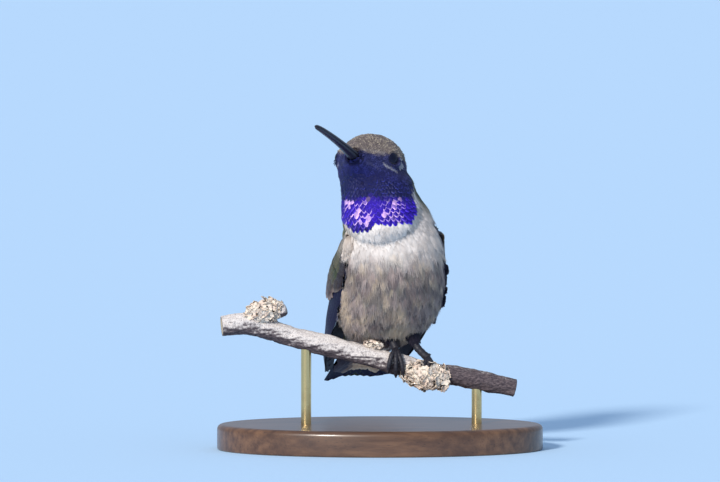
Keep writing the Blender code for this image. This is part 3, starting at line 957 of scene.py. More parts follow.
LEG_LINES: dict[str, list[tuple[float, float, float, float]]] = {
    "left": [(6.4, 0.8, 24.6, 1.5), (6.6, 0.8, 22.2, 1.2), (7.1, 0.7, 20.4, 0.85), (8.1, 0.2, 19.0, 0.62)],
    "right": [(1.4, 1.6, 25.0, 1.5), (1.7, 1.4, 23.0, 1.2), (2.2, 0.8, 21.6, 0.85), (2.8, 0.3, 20.5, 0.62)],
}


def leg_distance(points: Array) -> Array:
    """Distance from the nearer leg's surface.

    Args:
        points: Places.

    Returns:
        Millimetres, less than 0 inside a leg.
    """
    found = np.full(len(points), NOWHERE)
    for line in LEG_LINES.values():
        rows = smooth_rows(line, 30)
        gap = np.sqrt(((points[:, None] - rows[None, :, :3]) ** 2).sum(axis=2)) - rows[None, :, 3]
        found = np.minimum(found, gap.min(axis=1))
    return found


@dataclass(frozen=True)
class Patch:
    """A soft-edged spot of colour on the front of the body, across and up in the world."""

    across: float
    up: float
    half_width: float
    half_height: float
    strength: float

    def share(self, points: Array) -> Array:
        """How far a place lies in it."""
        far = np.hypot((points[:, 0] - self.across) / self.half_width, (points[:, 2] - self.up) / self.half_height)
        return self.strength * ramp(1.25, 0.35, far)


@dataclass(frozen=True)
class Stroke:
    """A fine pale line on both sides of the face, in the head's frame."""

    line: tuple[Place, ...]
    outer: float
    inner: float
    strength: float

    def share(self, mirrored: Array) -> Array:
        """How far a place lies on it."""
        return self.strength * ramp(self.outer, self.inner, line_distance(mirrored, self.line))


@dataclass(frozen=True)
class Markings:
    """The adult male's pattern, read at any place of skin or coat."""

    hood_limit: float = 83.0
    band_top: float = 51.3
    white: Colour = paint(246, 235, 226)
    dim_white: Colour = paint(206, 194, 186)
    belly: Colour = paint(158, 137, 130)
    dusk: Colour = paint(64, 52, 60)
    moss: Colour = paint(114, 109, 96)
    buff: Colour = paint(218, 192, 160)
    flank: Colour = paint(138, 124, 124)
    green: Colour = paint(70, 88, 54)
    bronze: Colour = paint(124, 112, 74)
    crown: Colour = paint(100, 90, 92)
    crown_rim: Colour = paint(226, 210, 184)
    face: Colour = paint(34, 37, 74)
    face_rim: Colour = paint(90, 94, 150)
    velvet: Colour = paint(22, 25, 76)
    velvet_rim: Colour = paint(60, 64, 156)
    violet: Colour = paint(52, 20, 168)
    violet_rim: Colour = paint(86, 56, 226)
    # pink-white of the painted highlights on the throat scales
    glint: Colour = paint(236, 190, 246)
    pale_line: Colour = paint(206, 204, 208)
    dark_spots: tuple[Patch, ...] = (
        Patch(0.6, 26.0, 3.6, 2.6, 0.65),
        Patch(-5.2, 34.6, 2.2, 2.4, 0.45),
        Patch(7.4, 32.0, 3.2, 4.2, 0.55),
        Patch(-1.2, 31.0, 3.5, 2.2, 0.35),
    )
    buff_spots: tuple[Patch, ...] = (
        Patch(-7.2, 26.5, 1.9, 7.5, 0.8),
        Patch(4.4, 22.8, 3.4, 2.6, 0.85),
        Patch(3.2, 27.0, 2.2, 2.2, 0.45),
        Patch(-6.0, 41.5, 2.0, 3.0, 0.3),
    )
    strokes: tuple[Stroke, ...] = (
        Stroke(((7.0, 1.4, 0.75), (5.4, 3.0, 0.95), (3.6, 4.6, 1.10)), 0.42, 0.15, 0.10),
        Stroke(((3.9, 4.6, -0.7), (2.6, 5.8, -1.25), (1.0, 6.4, -1.55)), 0.34, 0.12, 0.32),
        Stroke(((0.1, 6.1, 1.9), (-0.25, 6.4, 1.1), (-0.2, 6.6, 0.3), (0.35, 6.6, -0.6)), 0.40, 0.16, 0.50),
        Stroke(((6.4, 2.2, -1.55), (5.2, 3.2, -1.75), (4.4, 3.8, -2.0)), 0.34, 0.12, 0.03),
    )

    def border(self, theta: Array) -> Array:
        """Height of the throat patch's lower edge, by turn about the throat."""
        lobe = ramp(-46, -34, theta) * ramp(15, -1, theta)
        return 44.75 - 1.35 * lobe + 3.2 * ramp(58, 90, np.abs(theta))

    def throat_turn(self, points: Array) -> Array:
        """Degrees about the throat, 0 at its front."""
        local = THROAT.local(points)
        return np.degrees(np.arctan2(local[:, 1] - 0.6, local[:, 0] - 0.4))

    def hood(self, points: Array) -> Array:
        """Reads the dark hood: throat patch and face.

        Args:
            points: Places.

        Returns:
            How far each lies in it.
        """
        head, theta, height = HEAD.local(points), self.throat_turn(points), points[:, 2]
        over_edge = height - self.border(theta)
        throat = ramp(-0.12, 0.12, over_edge) * ramp(3.5, -3.5, np.abs(theta) - self.hood_limit)
        edge = 0.25 + 1.0 * ramp(5.6, 2.8, head[:, 0]) + 0.25 * ramp(2.0, -4.0, head[:, 0])
        below_cap = ramp(0.35, -0.35, head[:, 2] - edge)
        behind = head[:, 0] - 0.14 * np.clip(-head[:, 2], 0, 8) + 0.5 * wobble(points, 0.9, 61.0)
        face = below_cap * ramp(-4.9, -3.3, behind) * ramp(50.0, 52.5, height)
        return np.maximum(throat * below_cap, face)

    def underparts(self, points: Array, normals: Array, fine: Array, broad: Array) -> tuple[Array, Array, Array]:
        """Colours of breast, belly, flanks and undertail.

        Args:
            points: Places in millimetres.
            normals: Outward directions.
            fine: Fine noise there.
            broad: Broad noise there.

        Returns:
            The colour of a feather's middle, that of its rim, and how far each place is under the tail.
        """
        body, height = BODY.local(points), points[:, 2]
        streak = wobble(points, (1.6, 1.6, 0.28), 7.0)
        low = ramp(40.3, 34.5, height + 1.6 * broad)
        tint = mix(self.white, self.dim_white, np.clip(0.35 + 0.6 * broad + 0.5 * streak, 0, 1))
        # painted shade: the breast's white turns greyer towards +X
        tint = mix(tint, self.dim_white, ramp(4.0, 9.5, points[:, 0]) * 0.8)
        dapple = np.clip(0.42 + 1.3 * wobble(points, (0.72, 0.72, 0.55), 11.0, 3), 0, 1)
        under = mix(self.belly, self.dusk, dapple * 0.95)
        under = mix(under, self.moss, ramp(0.05, 0.55, wobble(points, 0.30, 13.0, 2)) * 0.75)
        under = mix(under, self.buff, ramp(0.0, 0.6, wobble(points, 0.55, 17.0, 2)) * 0.65)
        tint = mix(tint, under, low * 0.92)
        for spot in self.dark_spots:
            tint = mix(tint, mix(self.dusk, self.moss, ramp(-0.4, 0.5, fine) * 0.6), spot.share(points))
        for spot in self.buff_spots:
            tint = mix(tint, self.buff, spot.share(points) * (0.8 + 0.3 * fine))
        side = ramp(0.42, 0.05, normals @ BODY.axes[0]) * ramp(43.0, 38.0, height + broad)
        tint = mix(tint, mix(self.flank, self.moss, ramp(-0.5, 0.5, broad) * 0.6), side * 0.75)
        vent = ramp(-11.5, -15.5, body[:, 0]) * ramp(-0.12, -0.45, normals[:, 2])
        tint = mix(tint, mix(self.buff, self.white, 0.45), vent * 0.9)
        return tint, mix(tint, self.white, 0.45 * (0.5 + 0.5 * fine)), vent

    def throat_band(self, points: Array, normals: Array, theta: Array, fine: Array) -> tuple[Array, Array]:
        """Colours of the lit violet band, with pink glints painted on as highlights.

        Args:
            points: Places in millimetres.
            normals: Outward directions.
            theta: Degrees about the throat.
            fine: Fine noise there.

        Returns:
            The colour of a scale's middle and that of its rim.
        """
        across, height = points[:, 0], points[:, 2]
        lit = mix(self.violet, paint(40, 18, 140), np.clip(0.4 - 1.2 * wobble(points, 1.1, 23.0), 0, 1))
        pick = wobble(points, 2.7, 29.0)
        # painted highlight: pink glints on front-facing scales in two zones, on some whole scales and on most scales'
        # rims
        zone = ramp(-7.6, -6.4, across) * ramp(-1.4, -2.2, across) * ramp(45.2, 46.2, height)
        zone += ramp(-0.6, 0.2, across) * ramp(4.6, 3.4, across) * ramp(46.2, 47.2, height)
        painted_glint_share = zone * ramp(51.4, 50.8, height) * (normals[:, 1] < 0) * ramp(-0.30, -0.05, pick)
        lit = mix(lit, self.glint, painted_glint_share * ramp(0.30, 0.42, pick) * 0.8)
        rim = mix(self.violet_rim, paint(62, 34, 186), np.clip(0.4 + fine, 0, 1))
        dim = 0.5 * ramp(46.3, 44.6, height) * ramp(18, 4, theta)
        return lit * (1 - dim)[:, None], mix(rim, self.glint, painted_glint_share) * (1 - 0.8 * dim)[:, None]

    def read(self, points: Array, normals: Array) -> tuple[Array, Array]:
        """Colours at places of the coat.

        Args:
            points: Places in millimetres.
            normals: Outward directions.

        Returns:
            The colour of a feather's middle and that of its rim.
        """
        head, body, height = HEAD.local(points), BODY.local(points), points[:, 2]
        theta = self.throat_turn(points)
        fine, broad = wobble(points, 1.9, 3.0), wobble(points, 0.42, 5.0)
        tint, rim, vent = self.underparts(points, normals, fine, broad)

        over = ramp(0.04, -0.20, normals @ BODY.axes[0] + 0.10 * broad) * (1 - vent)
        over *= np.maximum(ramp(7.0, 5.5, body[:, 0]), height > 44)
        over *= mix(1.0, ramp(-0.35, 0.0, normals[:, 2]), ramp(-13.0, -17.0, body[:, 0]))
        back = mix(self.green, self.bronze, np.clip(0.35 + 0.5 * broad + 0.3 * fine, 0, 1))
        tint, rim = mix(tint, back, over), mix(rim, mix(self.bronze, paint(150, 140, 112), 0.25), over)

        top = ramp(49.5, 53.0, height + 0.3 * head[:, 0])
        top = np.maximum(top, ramp(92, 112, np.abs(theta) + 6 * broad) * ramp(45.0, 49.0, height))
        cap = mix(self.crown, self.green, ramp(1.0, -6.0, head[:, 0]) * 0.65)
        fleck = ramp(-0.15, 0.35, wobble(points, (2.3, 2.3, 2.8), 67.0) + 0.3 * broad)
        cap = mix(cap, paint(66, 58, 54), np.clip(0.2 + fine, 0, 1) * 0.6)
        cap_rim = mix(self.crown_rim, self.bronze, ramp(0.0, -6.0, head[:, 0]) * 0.6)
        tint, rim = mix(tint, cap, top), mix(rim, mix(cap, cap_rim, 0.22 + 0.70 * fleck), top)

        hood = self.hood(points)
        throat = ramp(3.5, -1.5, head[:, 2] + 2.2 + 0.18 * np.abs(head[:, 1]))
        dark = mix(self.face, self.velvet, throat)
        dark_rim = mix(self.face_rim, self.velvet_rim, throat)
        dark_rim = mix(dark_rim, dark, np.clip(0.5 - 1.1 * wobble(points, 1.5, 73.0), 0, 1))
        band = ramp(self.band_top, self.band_top - 1.7, height + 0.9 * fine + 0.006 * np.abs(theta - 5))
        lit, lit_rim = self.throat_band(points, normals, theta, fine)
        tint, rim = mix(tint, mix(dark, lit, band), hood), mix(rim, mix(dark_rim, lit_rim, band), hood)

        mirrored = np.column_stack((head[:, 0], np.abs(head[:, 1]), head[:, 2]))
        pale = np.clip(sum(stroke.share(mirrored) for stroke in self.strokes), 0, 1)
        tint, rim = mix(tint, self.pale_line, pale), mix(rim, self.pale_line, pale)

        thigh = ramp(1.0, 0.3, leg_distance(points)) * ramp(24.2, 22.6, height)
        tint, rim = mix(tint, paint(26, 24, 36), thigh), mix(rim, paint(42, 38, 52), thigh)
        darkest, palest = 0.002, 0.95
        return np.clip(tint, darkest, palest), np.clip(rim, darkest, palest)


MARKINGS = Markings()


# ---------------- vanes and how they are planted


class VaneKind(Enum):
    """The kinds of small feather: columns, rows, fringe and camber."""

    FACE = (5, 2, 0.22, 0.10)
    SCALE = (8, 4, 0.0, 0.16)
    SOFT = (8, 2, 0.50, 0.10)
    FIRM = (8, 4, 0.035, 0.14)


@dataclass(frozen=True)
class Vane:
    """One small feather of length and width 1, root at the origin, tip along +Y, outer face +Z."""

    kind: VaneKind
    seed: int = 0
    taper: float = 0.42

    def mesh(self) -> Mesh:
        """Builds the vane.

        Returns:
            Its mesh, with its own across and along values.
        """
        columns, rows, fringe, camber = self.kind.value
        chance = np.random.default_rng(900 + self.seed)
        across = np.linspace(-1, 1, columns + 1)
        if fringe > 0.3:
            across[1:-1] += (1.1 / columns) * (chance.random(columns - 1) - 0.5)
        along = np.linspace(0, 1 - fringe, rows + 1)
        u, v = np.meshgrid(across, along)
        spread = 0.30 + 0.70 * ramp(0.0, 0.55, v)
        blunt = 2.0 if self.kind is VaneKind.SCALE else 2.4
        x = 0.5 * u * spread * (1 - 0.10 * v**4)
        y = v * (1 - self.taper * np.abs(u) ** blunt)
        z = camber * (np.sin(math.pi * np.minimum(v, 1)) * 0.55 - 0.55 * v * v * 0.5 - 0.6 * u * u * spread * 0.6)
        points = [*np.stack((x, y, z), axis=-1).reshape(-1, 3)]
        values = [*vane_grid(across, along)]
        faces = flat_faces(rows + 1, columns + 1)
        base = rows * (columns + 1)
        for c in range(columns if fringe else 0):
            middle = 0.5 * (across[c] + across[c + 1])
            length = fringe * (0.55 + 0.65 * chance.random()) * (1 - self.taper * abs(middle) ** blunt)
            lean = 0.10 * middle + 0.05 * (chance.random() - 0.5)
            root = 0.5 * (points[base + c] + points[base + c + 1])
            points.append(root + (lean, length, -0.4 * camber * chance.random()))
            values.append((middle, 1.0, 0.0))
            faces.append((base + c, base + c + 1, len(points) - 1))
        made = plain_mesh(f"vane_{self.kind.name.lower()}_{self.seed}", points, faces, 1.0)
        add_attribute(made, "vane", np.array(values))
        return made


@dataclass
class Planting:
    """Geometry Nodes that stand one of three shapes on every point of a cloud, and paint and map it."""

    name: str
    jitter: float = 0.12
    patch: float = 0.003
    seed: int = 1
    ids: dict[str, str] = field(default_factory=dict)

    def tree(self) -> bpy.types.NodeTree:
        """Builds the nodes.

        Returns:
            A tree with named inputs for cloud, shapes, jitter, patch, seed and finish.
        """
        tree = bpy.data.node_groups.new(self.name, "GeometryNodeTree")
        kinds = {"Cloud": "Geometry", **{f"Shape {k}": "Object" for k in (1, 2, 3)}}
        kinds |= {"Size Jitter": "Float", "Patch": "Float", "Seed": "Int", "Finish": "Material"}
        for name, kind in kinds.items():
            tree.interface.new_socket(name, in_out="INPUT", socket_type=f"NodeSocket{kind}")
        tree.interface.new_socket("Planted", in_out="OUTPUT", socket_type="NodeSocketGeometry")
        self.ids = {item.name: item.identifier for item in tree.interface.items_tree if item.in_out == "INPUT"}
        given = tree.nodes.new("NodeGroupInput").outputs

        def node(kind: str, inputs: dict, output: int | str = 0, **options: object) -> Socket:
            """Adds a node and gives one of its outputs."""
            return add_node(tree, kind, inputs, **options).outputs[output]

        def named(name: str, kind: str = "FLOAT_VECTOR") -> Socket:
            """Reads a stored value."""
            return node("GeometryNodeInputNamedAttribute", {"Name": name}, "Attribute", data_type=kind)

        join = tree.nodes.new("GeometryNodeJoinGeometry")
        for k in (3, 2, 1):
            held = {"Object": given[f"Shape {k}"], "As Instance": True}
            shape = node("GeometryNodeObjectInfo", held, "Geometry", transform_space="ORIGINAL")
            tree.links.new(shape, join.inputs[0])
        around = {0: 1.0, 1: given["Size Jitter"]}
        low, high = (node("ShaderNodeMath", around, operation=way) for way in ("SUBTRACT", "ADD"))
        chance = node("FunctionNodeRandomValue", {2: low, 3: high, "Seed": given["Seed"]}, 1)
        stand = {
            "Points": given["Cloud"],
            "Instance": join.outputs[0],
            "Pick Instance": True,
            "Instance Index": named("variant", "INT"),
            "Rotation": named("turn"),
            "Scale": node("ShaderNodeVectorMath", {0: named("size"), "Scale": chance}, operation="SCALE"),
        }
        real = node("GeometryNodeRealizeInstances", {0: node("GeometryNodeInstanceOnPoints", stand)})
        half = node("ShaderNodeMath", {0: given["Patch"], 1: 0.5}, operation="MULTIPLY")
        spot = {0: named("vane"), 1: node("ShaderNodeCombineXYZ", {0: half, 1: given["Patch"]}), 2: named("root_uv")}
        place = node("ShaderNodeVectorMath", spot, operation="MULTIPLY_ADD")
        mapped = {"Geometry": real, "Name": BAKE_MAP, "Value": place}
        flow = node("GeometryNodeStoreNamedAttribute", mapped, data_type="FLOAT2", domain="CORNER")
        for spare in ("turn", "size", "root_uv", "variant"):
            flow = node("GeometryNodeRemoveAttribute", {"Geometry": flow, "Name": spare})
        done = node("GeometryNodeSetMaterial", {"Geometry": flow, "Material": given["Finish"]})
        add_node(tree, "NodeGroupOutput", {0: done})
        return tree

    def grow(self, roots: "Roots", shapes: Iterable[Mesh], finish: Finish, name: str) -> Mesh:
        """Plants shapes on roots.

        Args:
            roots: Where and how they stand.
            shapes: The three shapes.
            finish: Their finish.
            name: Name of what they make.

        Returns:
            All of them as one plain mesh.
        """
        cloud = plain_mesh(name + "_roots", roots.points, [])
        root_uv = np.column_stack((roots.places, np.zeros(len(roots.points))))
        rows = {"turn": roots.turns(), "size": roots.sizes * MM, "root_uv": root_uv, "tint": roots.tint}
        for key, values in (rows | {"rim": roots.rim}).items():
            add_attribute(cloud, key, values)
        variant = cloud.attributes.new("variant", "INT", "POINT")
        variant.data.foreach_set("value", np.arange(len(roots.points)) * 7 % 3)
        host = add_object(name + "_host", cloud)
        modifier = host.modifiers.new(self.name, "NODES")
        modifier.node_group = self.tree()
        holders = {f"Shape {k}": add_object(f"{name}_shape_{k}", shape) for k, shape in enumerate(shapes, 1)}
        settings = {"Size Jitter": self.jitter, "Patch": self.patch, "Seed": self.seed, "Finish": finish.material()}
        for key, value in (holders | settings).items():
            modifier[self.ids[key]] = value
        mesh = finished_mesh(host, name)
        for holder in holders.values():
            bpy.data.objects.remove(holder)
        return mesh


@dataclass
class Roots:
    """Places where small shapes are planted, with how each lies, its size and its colours."""

    points: Array
    out: Array
    flow: Array
    sizes: Array
    lift: Array
    places: Array
    tint: Array
    rim: Array

    def turns(self) -> Array:
        """How the shapes are turned.

        Returns:
            Euler angles that lay +Y along the flow, lifted, with +Z outwards.
        """
        cos, sin = np.cos(self.lift)[:, None], np.sin(self.lift)[:, None]
        y = unit(self.flow * cos + self.out * sin)
        z = unit(self.out * cos - self.flow * sin)
        x = unit(np.cross(y, z))
        pitch = np.arcsin(np.clip(-x[:, 2], -1, 1))
        return np.column_stack((np.arctan2(y[:, 2], z[:, 2]), pitch, np.arctan2(x[:, 1], x[:, 0])))

    def only(self, keep: Array) -> "Roots":
        """Those roots that are kept."""
        return Roots(*(rows[keep] for rows in vars(self).values()))


def plant_piece(
    name: str, roots: Roots, kind: VaneKind, finish: Finish, stands_for: Sequence[str] = (), jitter: float = 0.12
) -> None:
    """Grows feathers on roots and shows them as a piece of the coat.

    Args:
        name: The piece's name.
        roots: Where they grow.
        kind: Their kind.
        finish: Their finish.
        stands_for: CAD nodes that they replace.
        jitter: How far their sizes differ.
    """
    shapes = [Vane(kind, k).mesh() for k in range(3)]
    mesh = Planting(f"plant_{name}", jitter).grow(roots, shapes, finish, name)
    present(mesh, name, finish, stands_for)


# ---------------- skin and coat

GREY_COAT = Plumage(
    "breast_plumage", "feather_grey", barbs=9.0, rough=0.8, sheen=0.1, down=0.62, shaft=0.0, rim_from=0.45
)
BACK_COAT = Plumage("back_plumage", "feather_grey", barbs=14.0, rough=0.5, metal=0.15, sheen=0.15)
HEAD_COAT = Plumage(
    "head_plumage", "feather_dark", barbs=6.0, rough=0.6, sheen=0.03, down=0.5, rim_from=0.45, shine=0.12
)
GORGET_COAT = Plumage(
    "throat_scales", "feather_violet", barbs=8.0, rough=0.42, metal=0.3, sheen=0.0,
    down=0.5, rim_from=0.66, rim_full=0.84, shine=0.25,
)


@dataclass
class BodySkin:
    """The one skin over head, neck, trunk and legs, sunk by the depth of the coat."""

    nodes: tuple[str, ...] = ("head", "neck", "trunk", "leg_left", "leg_right")
    swell: float = 0.25
    voxel: float = 0.36
    body_depth: float = 0.55
    head_depth: float = 0.28
    leg_depth: float = 0.12
    lid: float = 0.09
    brow: float = 0.20
    socket: float = 0.9

    def flesh(self) -> Mesh:
        """Joins the nodes and a dome for each eye into one closed form.

        Returns:
            The form, swollen a little so that the nodes meet.
        """
        joined = bmesh.new()
        for node in self.nodes:
            part = bmesh.new()
            part.from_mesh(bpy.data.objects[node].data)
            bmesh.ops.remove_doubles(part, verts=part.verts, dist=1e-6)
            part.normal_update()
            for vertex in part.verts:
                vertex.co += vertex.normal * self.swell * MM
            spare = bpy.data.meshes.new(node + "_flesh")
            part.to_mesh(spare)
            part.free()
            joined.from_mesh(spare)
        dome = EYES.radius + self.lid + self.swell + self.head_depth
        for side in (1, -1):
            place = Matrix.Translation(Vector(EYES.centre(side) * MM))
            bmesh.ops.create_icosphere(joined, subdivisions=4, radius=dome * MM, matrix=place)
        mesh = bpy.data.meshes.new("flesh")
        joined.to_mesh(mesh)
        joined.free()
        host = add_object("flesh_host", mesh)
        remesh = host.modifiers.new("one_skin", "REMESH")
        remesh.mode, remesh.voxel_size = "VOXEL", self.voxel * MM
        smooth = host.modifiers.new("smooth", "SMOOTH")
        smooth.factor, smooth.iterations = 0.5, 4
        return finished_mesh(host, "skin")

    def build(self) -> Mesh:
        """Draws the flesh in by the coat's depth, round the eyes too.

        Returns:
            The skin's mesh.
        """
        mesh = self.flesh()
        points, normals = vertex_rows(mesh)
        depth = self.swell + mix(self.body_depth, self.head_depth, ramp(50.0, 54.0, points[:, 2]))
        near_leg = ramp(0.9, 0.2, leg_distance(points)) * ramp(24.5, 23.0, points[:, 2])
        depth = mix(depth, self.swell + self.leg_depth, near_leg)
        points = points - normals * depth[:, None]
        for side in (1, -1):
            _, along, off = EYES.tell(points, side)
            off, outer = np.linalg.norm(off, axis=1), along > 0
            sink = ramp(EYES.opening + 0.06, EYES.opening - 0.2, off) * outer
            brow = ramp(EYES.opening - 0.1, EYES.opening + 0.1, off) * ramp(2.6, 1.3, off) * outer
            points += EYES.axis(side) * (self.brow * brow)[:, None]
            away = points - EYES.centre(side)
            far = np.linalg.norm(away, axis=1)
            closed = (along > -0.6) & (far < EYES.radius + self.lid)
            points += (closed * (EYES.radius + self.lid - far) / np.maximum(far, 0.1))[:, None] * away
            points -= EYES.axis(side) * (self.socket * sink)[:, None]
        mesh.vertices.foreach_set("co", (points * MM).ravel())
        mesh.update()
        mesh.shade_smooth()
        return mesh

    def dress(self) -> tuple[Array, Array, Array]:
        """Shows the skin.

        Returns:
            Its vertices, their normals and its triangles, for the coat.
        """
        mesh = self.build()
        points, normals = vertex_rows(mesh)
        add_attribute(mesh, "tint", MARKINGS.read(points, normals)[0] * 0.7)
        add_attribute(mesh, "patch", SPINE.follow(points, normals)[1])
        mesh.calc_loop_triangles()
        corners = np.empty(3 * len(mesh.loop_triangles), int)
        mesh.loop_triangles.foreach_get("vertices", corners)
        present(mesh, "skin", Skin("downy_skin", "feather_grey"), self.nodes)
        return points, normals, corners.reshape(-1, 3)


class Tract(Enum):
    """Regions of the coat, each a piece of its own."""

    HEAD = "coat_head"
    THROAT = "coat_throat"
    BREAST = "coat_breast"
    BELLY = "coat_belly"
    BACK = "coat_back"
    UNDERTAIL = "coat_undertail"
    THIGH = "coat_thighs"
    BARE = ""

    @property
    def number(self) -> int:
        """Its place in the order of regions."""
        return list(Tract).index(self)


LOOKS = {
    Tract.HEAD: (VaneKind.FACE, HEAD_COAT),
    Tract.THROAT: (VaneKind.SCALE, GORGET_COAT),
    Tract.BREAST: (VaneKind.SOFT, GREY_COAT),
    Tract.BELLY: (VaneKind.SOFT, GREY_COAT),
    Tract.BACK: (VaneKind.FIRM, BACK_COAT),
    Tract.UNDERTAIL: (VaneKind.SOFT, GREY_COAT),
    Tract.THIGH: (VaneKind.FACE, HEAD_COAT),
}


@dataclass
class Coat:
    """All the small feathers on the skin."""

    points: Array
    normals: Array
    triangles: Array
    seed: int = 41
    clear_of_eye: float = 1.20
    lip: float = 1.3
    rows_top: float = 52.6
    row_step: float = 0.70
    scale_pace: float = 1.16
    collar_height: float = 43.7
    tries: float = 7.0

    def is_bare(self, points: Array, normals: Array) -> Array:
        """Where no feathers grow.

        Args:
            points: Places on the skin.
            normals: Outward directions there.

        Returns:
            True at the lower legs, the throat patch's ledge, the hidden folds of the neck, the tail's root, the
            eyes and the bill.
        """
        head, body = HEAD.local(points), BODY.local(points)
        theta, height = MARKINGS.throat_turn(points), points[:, 2]
        bare = (leg_distance(points) < 0.35) & (height < 21.3 + 0.5 * (points[:, 0] < 5))
        inner = ((points - THROAT.point((0.4, 0.6, 44.0)))[:, :2] * normals[:, :2]).sum(axis=1) < 0
        ledge = np.abs(normals[:, 2] - 0.08) > 0.30
        bare |= (np.abs(theta) > 55) & (np.abs(height - self.collar_height) < 1.8) & (inner | ledge)
        bare |= body[:, 0] < -18.0
        bare |= ((normals @ unit(BODY.direction((-0.8, 0.0, -0.6)))) > 0.55) & (body[:, 0] < -16.0)
        off_eye = EYES.off_axis(points)
        bare |= (off_eye < 1.75) & (EYES.facing(normals) < 0.12)
        bare |= off_eye < self.clear_of_eye
        return bare | ((np.hypot(head[:, 1], head[:, 2] + 0.85) < 0.85) & (head[:, 0] > 6.2))

    def tract_of(self, points: Array, normals: Array) -> Array:
        """Finds regions of the coat.

        Args:
            points: Places on the skin.
            normals: Outward directions there.

        Returns:
            The number of each place's region.
        """
        head, body = HEAD.local(points), BODY.local(points)
        theta, height = MARKINGS.throat_turn(points), points[:, 2]
        on_head = (head[:, 2] > -4.2 + 0.10 * head[:, 0]) & (height > 49)
        in_patch = ~on_head & (np.abs(theta) < MARKINGS.hood_limit + 2)
        over_edge = height - MARKINGS.border(theta)
        under_lip = in_patch & (over_edge > self.lip - 0.5) & (over_edge <= self.lip)
        found = np.full(len(points), Tract.BREAST.number)
        for region, where in (
            (Tract.BELLY, height < 36.5),
            (Tract.BACK, (normals @ BODY.axes[0] < -0.15) & (height > 17) & (body[:, 0] < 6.0)),
            (Tract.UNDERTAIL, (body[:, 0] < -12.0) & (normals[:, 2] < -0.12)),
            (Tract.THROAT, in_patch & (over_edge > self.lip)),
            (Tract.HEAD, on_head),
            (Tract.THIGH, (leg_distance(points) < 0.35) & (height < 24.0)),
            (Tract.BARE, under_lip | self.is_bare(points, normals)),
        ):
            found[where] = region.number
        return found

    def measure(self, points: Array, tract: Array) -> tuple[Array, Array, Array]:
        """Sizes the feathers.

        Args:
            points: Places on the skin.
            tract: Numbers of their regions.

        Returns:
            Length, width and spacing at each place.
        """
        head, body, height = HEAD.local(points), BODY.local(points), points[:, 2]
        far = np.linalg.norm(head - (7.2, 0, -0.9), axis=1)
        small = np.clip(0.50 + 0.095 * far, 0.5, 1.6) * (0.5 + 0.5 * ramp(1.2, 3.4, EYES.off_axis(points)))
        low, collar, nape = ramp(53, 47, height), ramp(3.2, 0.0, height - 41.5), ramp(42, 52, height)
        back = mix(3.2, 1.8, nape) + 1.2 * ramp(-8, -18, body[:, 0])
        sizes = np.full((3, len(points)), ((3.2,), (1.6,), (0.62,)))
        for region, *values in (
            (Tract.HEAD, small, small * 0.62, small * 0.27 + 0.04),
            (Tract.THROAT, 1.2 + 0.45 * low, 0.95 + 0.35 * low, 0.50 + 0.16 * ramp(53, 48, height)),
            (Tract.BREAST, 2.3 + 0.9 * collar, 0.95 + 0.15 * collar, 0.45 + 0.03 * collar),
            (Tract.BELLY, 3.5, 1.15, 0.50),
            (Tract.BACK, back, mix(2.3, 1.2, nape), mix(0.85, 0.5, nape)),
            (Tract.UNDERTAIL, 3.6 + 1.2 * ramp(-14, -24, body[:, 0]), 1.5, 0.6),
            (Tract.THIGH, 1.35, 0.75, 0.36),
        ):
            chosen = tract == region.number
            for size, value in zip(sizes, values):
                size[chosen] = np.broadcast_to(value, len(points))[chosen]
        return tuple(sizes)

    def scatter(self) -> tuple[Array, Array, Array]:
        """Spreads roots evenly over the skin.

        Returns:
            Their places, normals and regions.
        """
        chance = np.random.default_rng(self.seed)
        corners = self.points[self.triangles]
        area = 0.5 * np.linalg.norm(np.cross(corners[:, 1] - corners[:, 0], corners[:, 2] - corners[:, 0]), axis=1)
        middle, lean = corners.mean(axis=1), unit(self.normals[self.triangles].mean(axis=1))
        tract = self.tract_of(middle, lean)
        _, _, spacing = self.measure(middle, tract)
        need = self.tries * area / spacing**2
        need[tract == Tract.BARE.number] = 0
        pick = np.repeat(np.arange(len(need)), chance.poisson(need))
        a, b = chance.random(len(pick)), chance.random(len(pick))
        flip = a + b > 1
        a[flip], b[flip] = 1 - a[flip], 1 - b[flip]
        weights = np.column_stack((1 - a - b, a, b))[:, :, None]
        points = (corners[pick] * weights).sum(axis=1)
        normals = unit((self.normals[self.triangles[pick]] * weights).sum(axis=1))
        loose = (tract[pick] != Tract.THROAT.number) | (points[:, 2] >= self.rows_top)
        points, normals, tract, spacing = (rows[loose] for rows in (points, normals, tract[pick], spacing[pick]))
        order = chance.permutation(len(points))
        tree = kdtree.KDTree(len(points))
        for k, place in enumerate(points):
            tree.insert(place, k)
        tree.balance()
        alive, keep = np.ones(len(points), bool), []
        for k in order:
            if alive[k]:
                keep.append(k)
                for _, other, _ in tree.find_range(points[k], spacing[k]):
                    alive[other] = False
        row_points, row_normals = self.throat_rows()
        scales = np.full(len(row_points), Tract.THROAT.number)
        return (
            np.vstack((points[keep], row_points)),
            np.vstack((normals[keep], row_normals)),
            np.concatenate((tract[keep], scales)),
        )

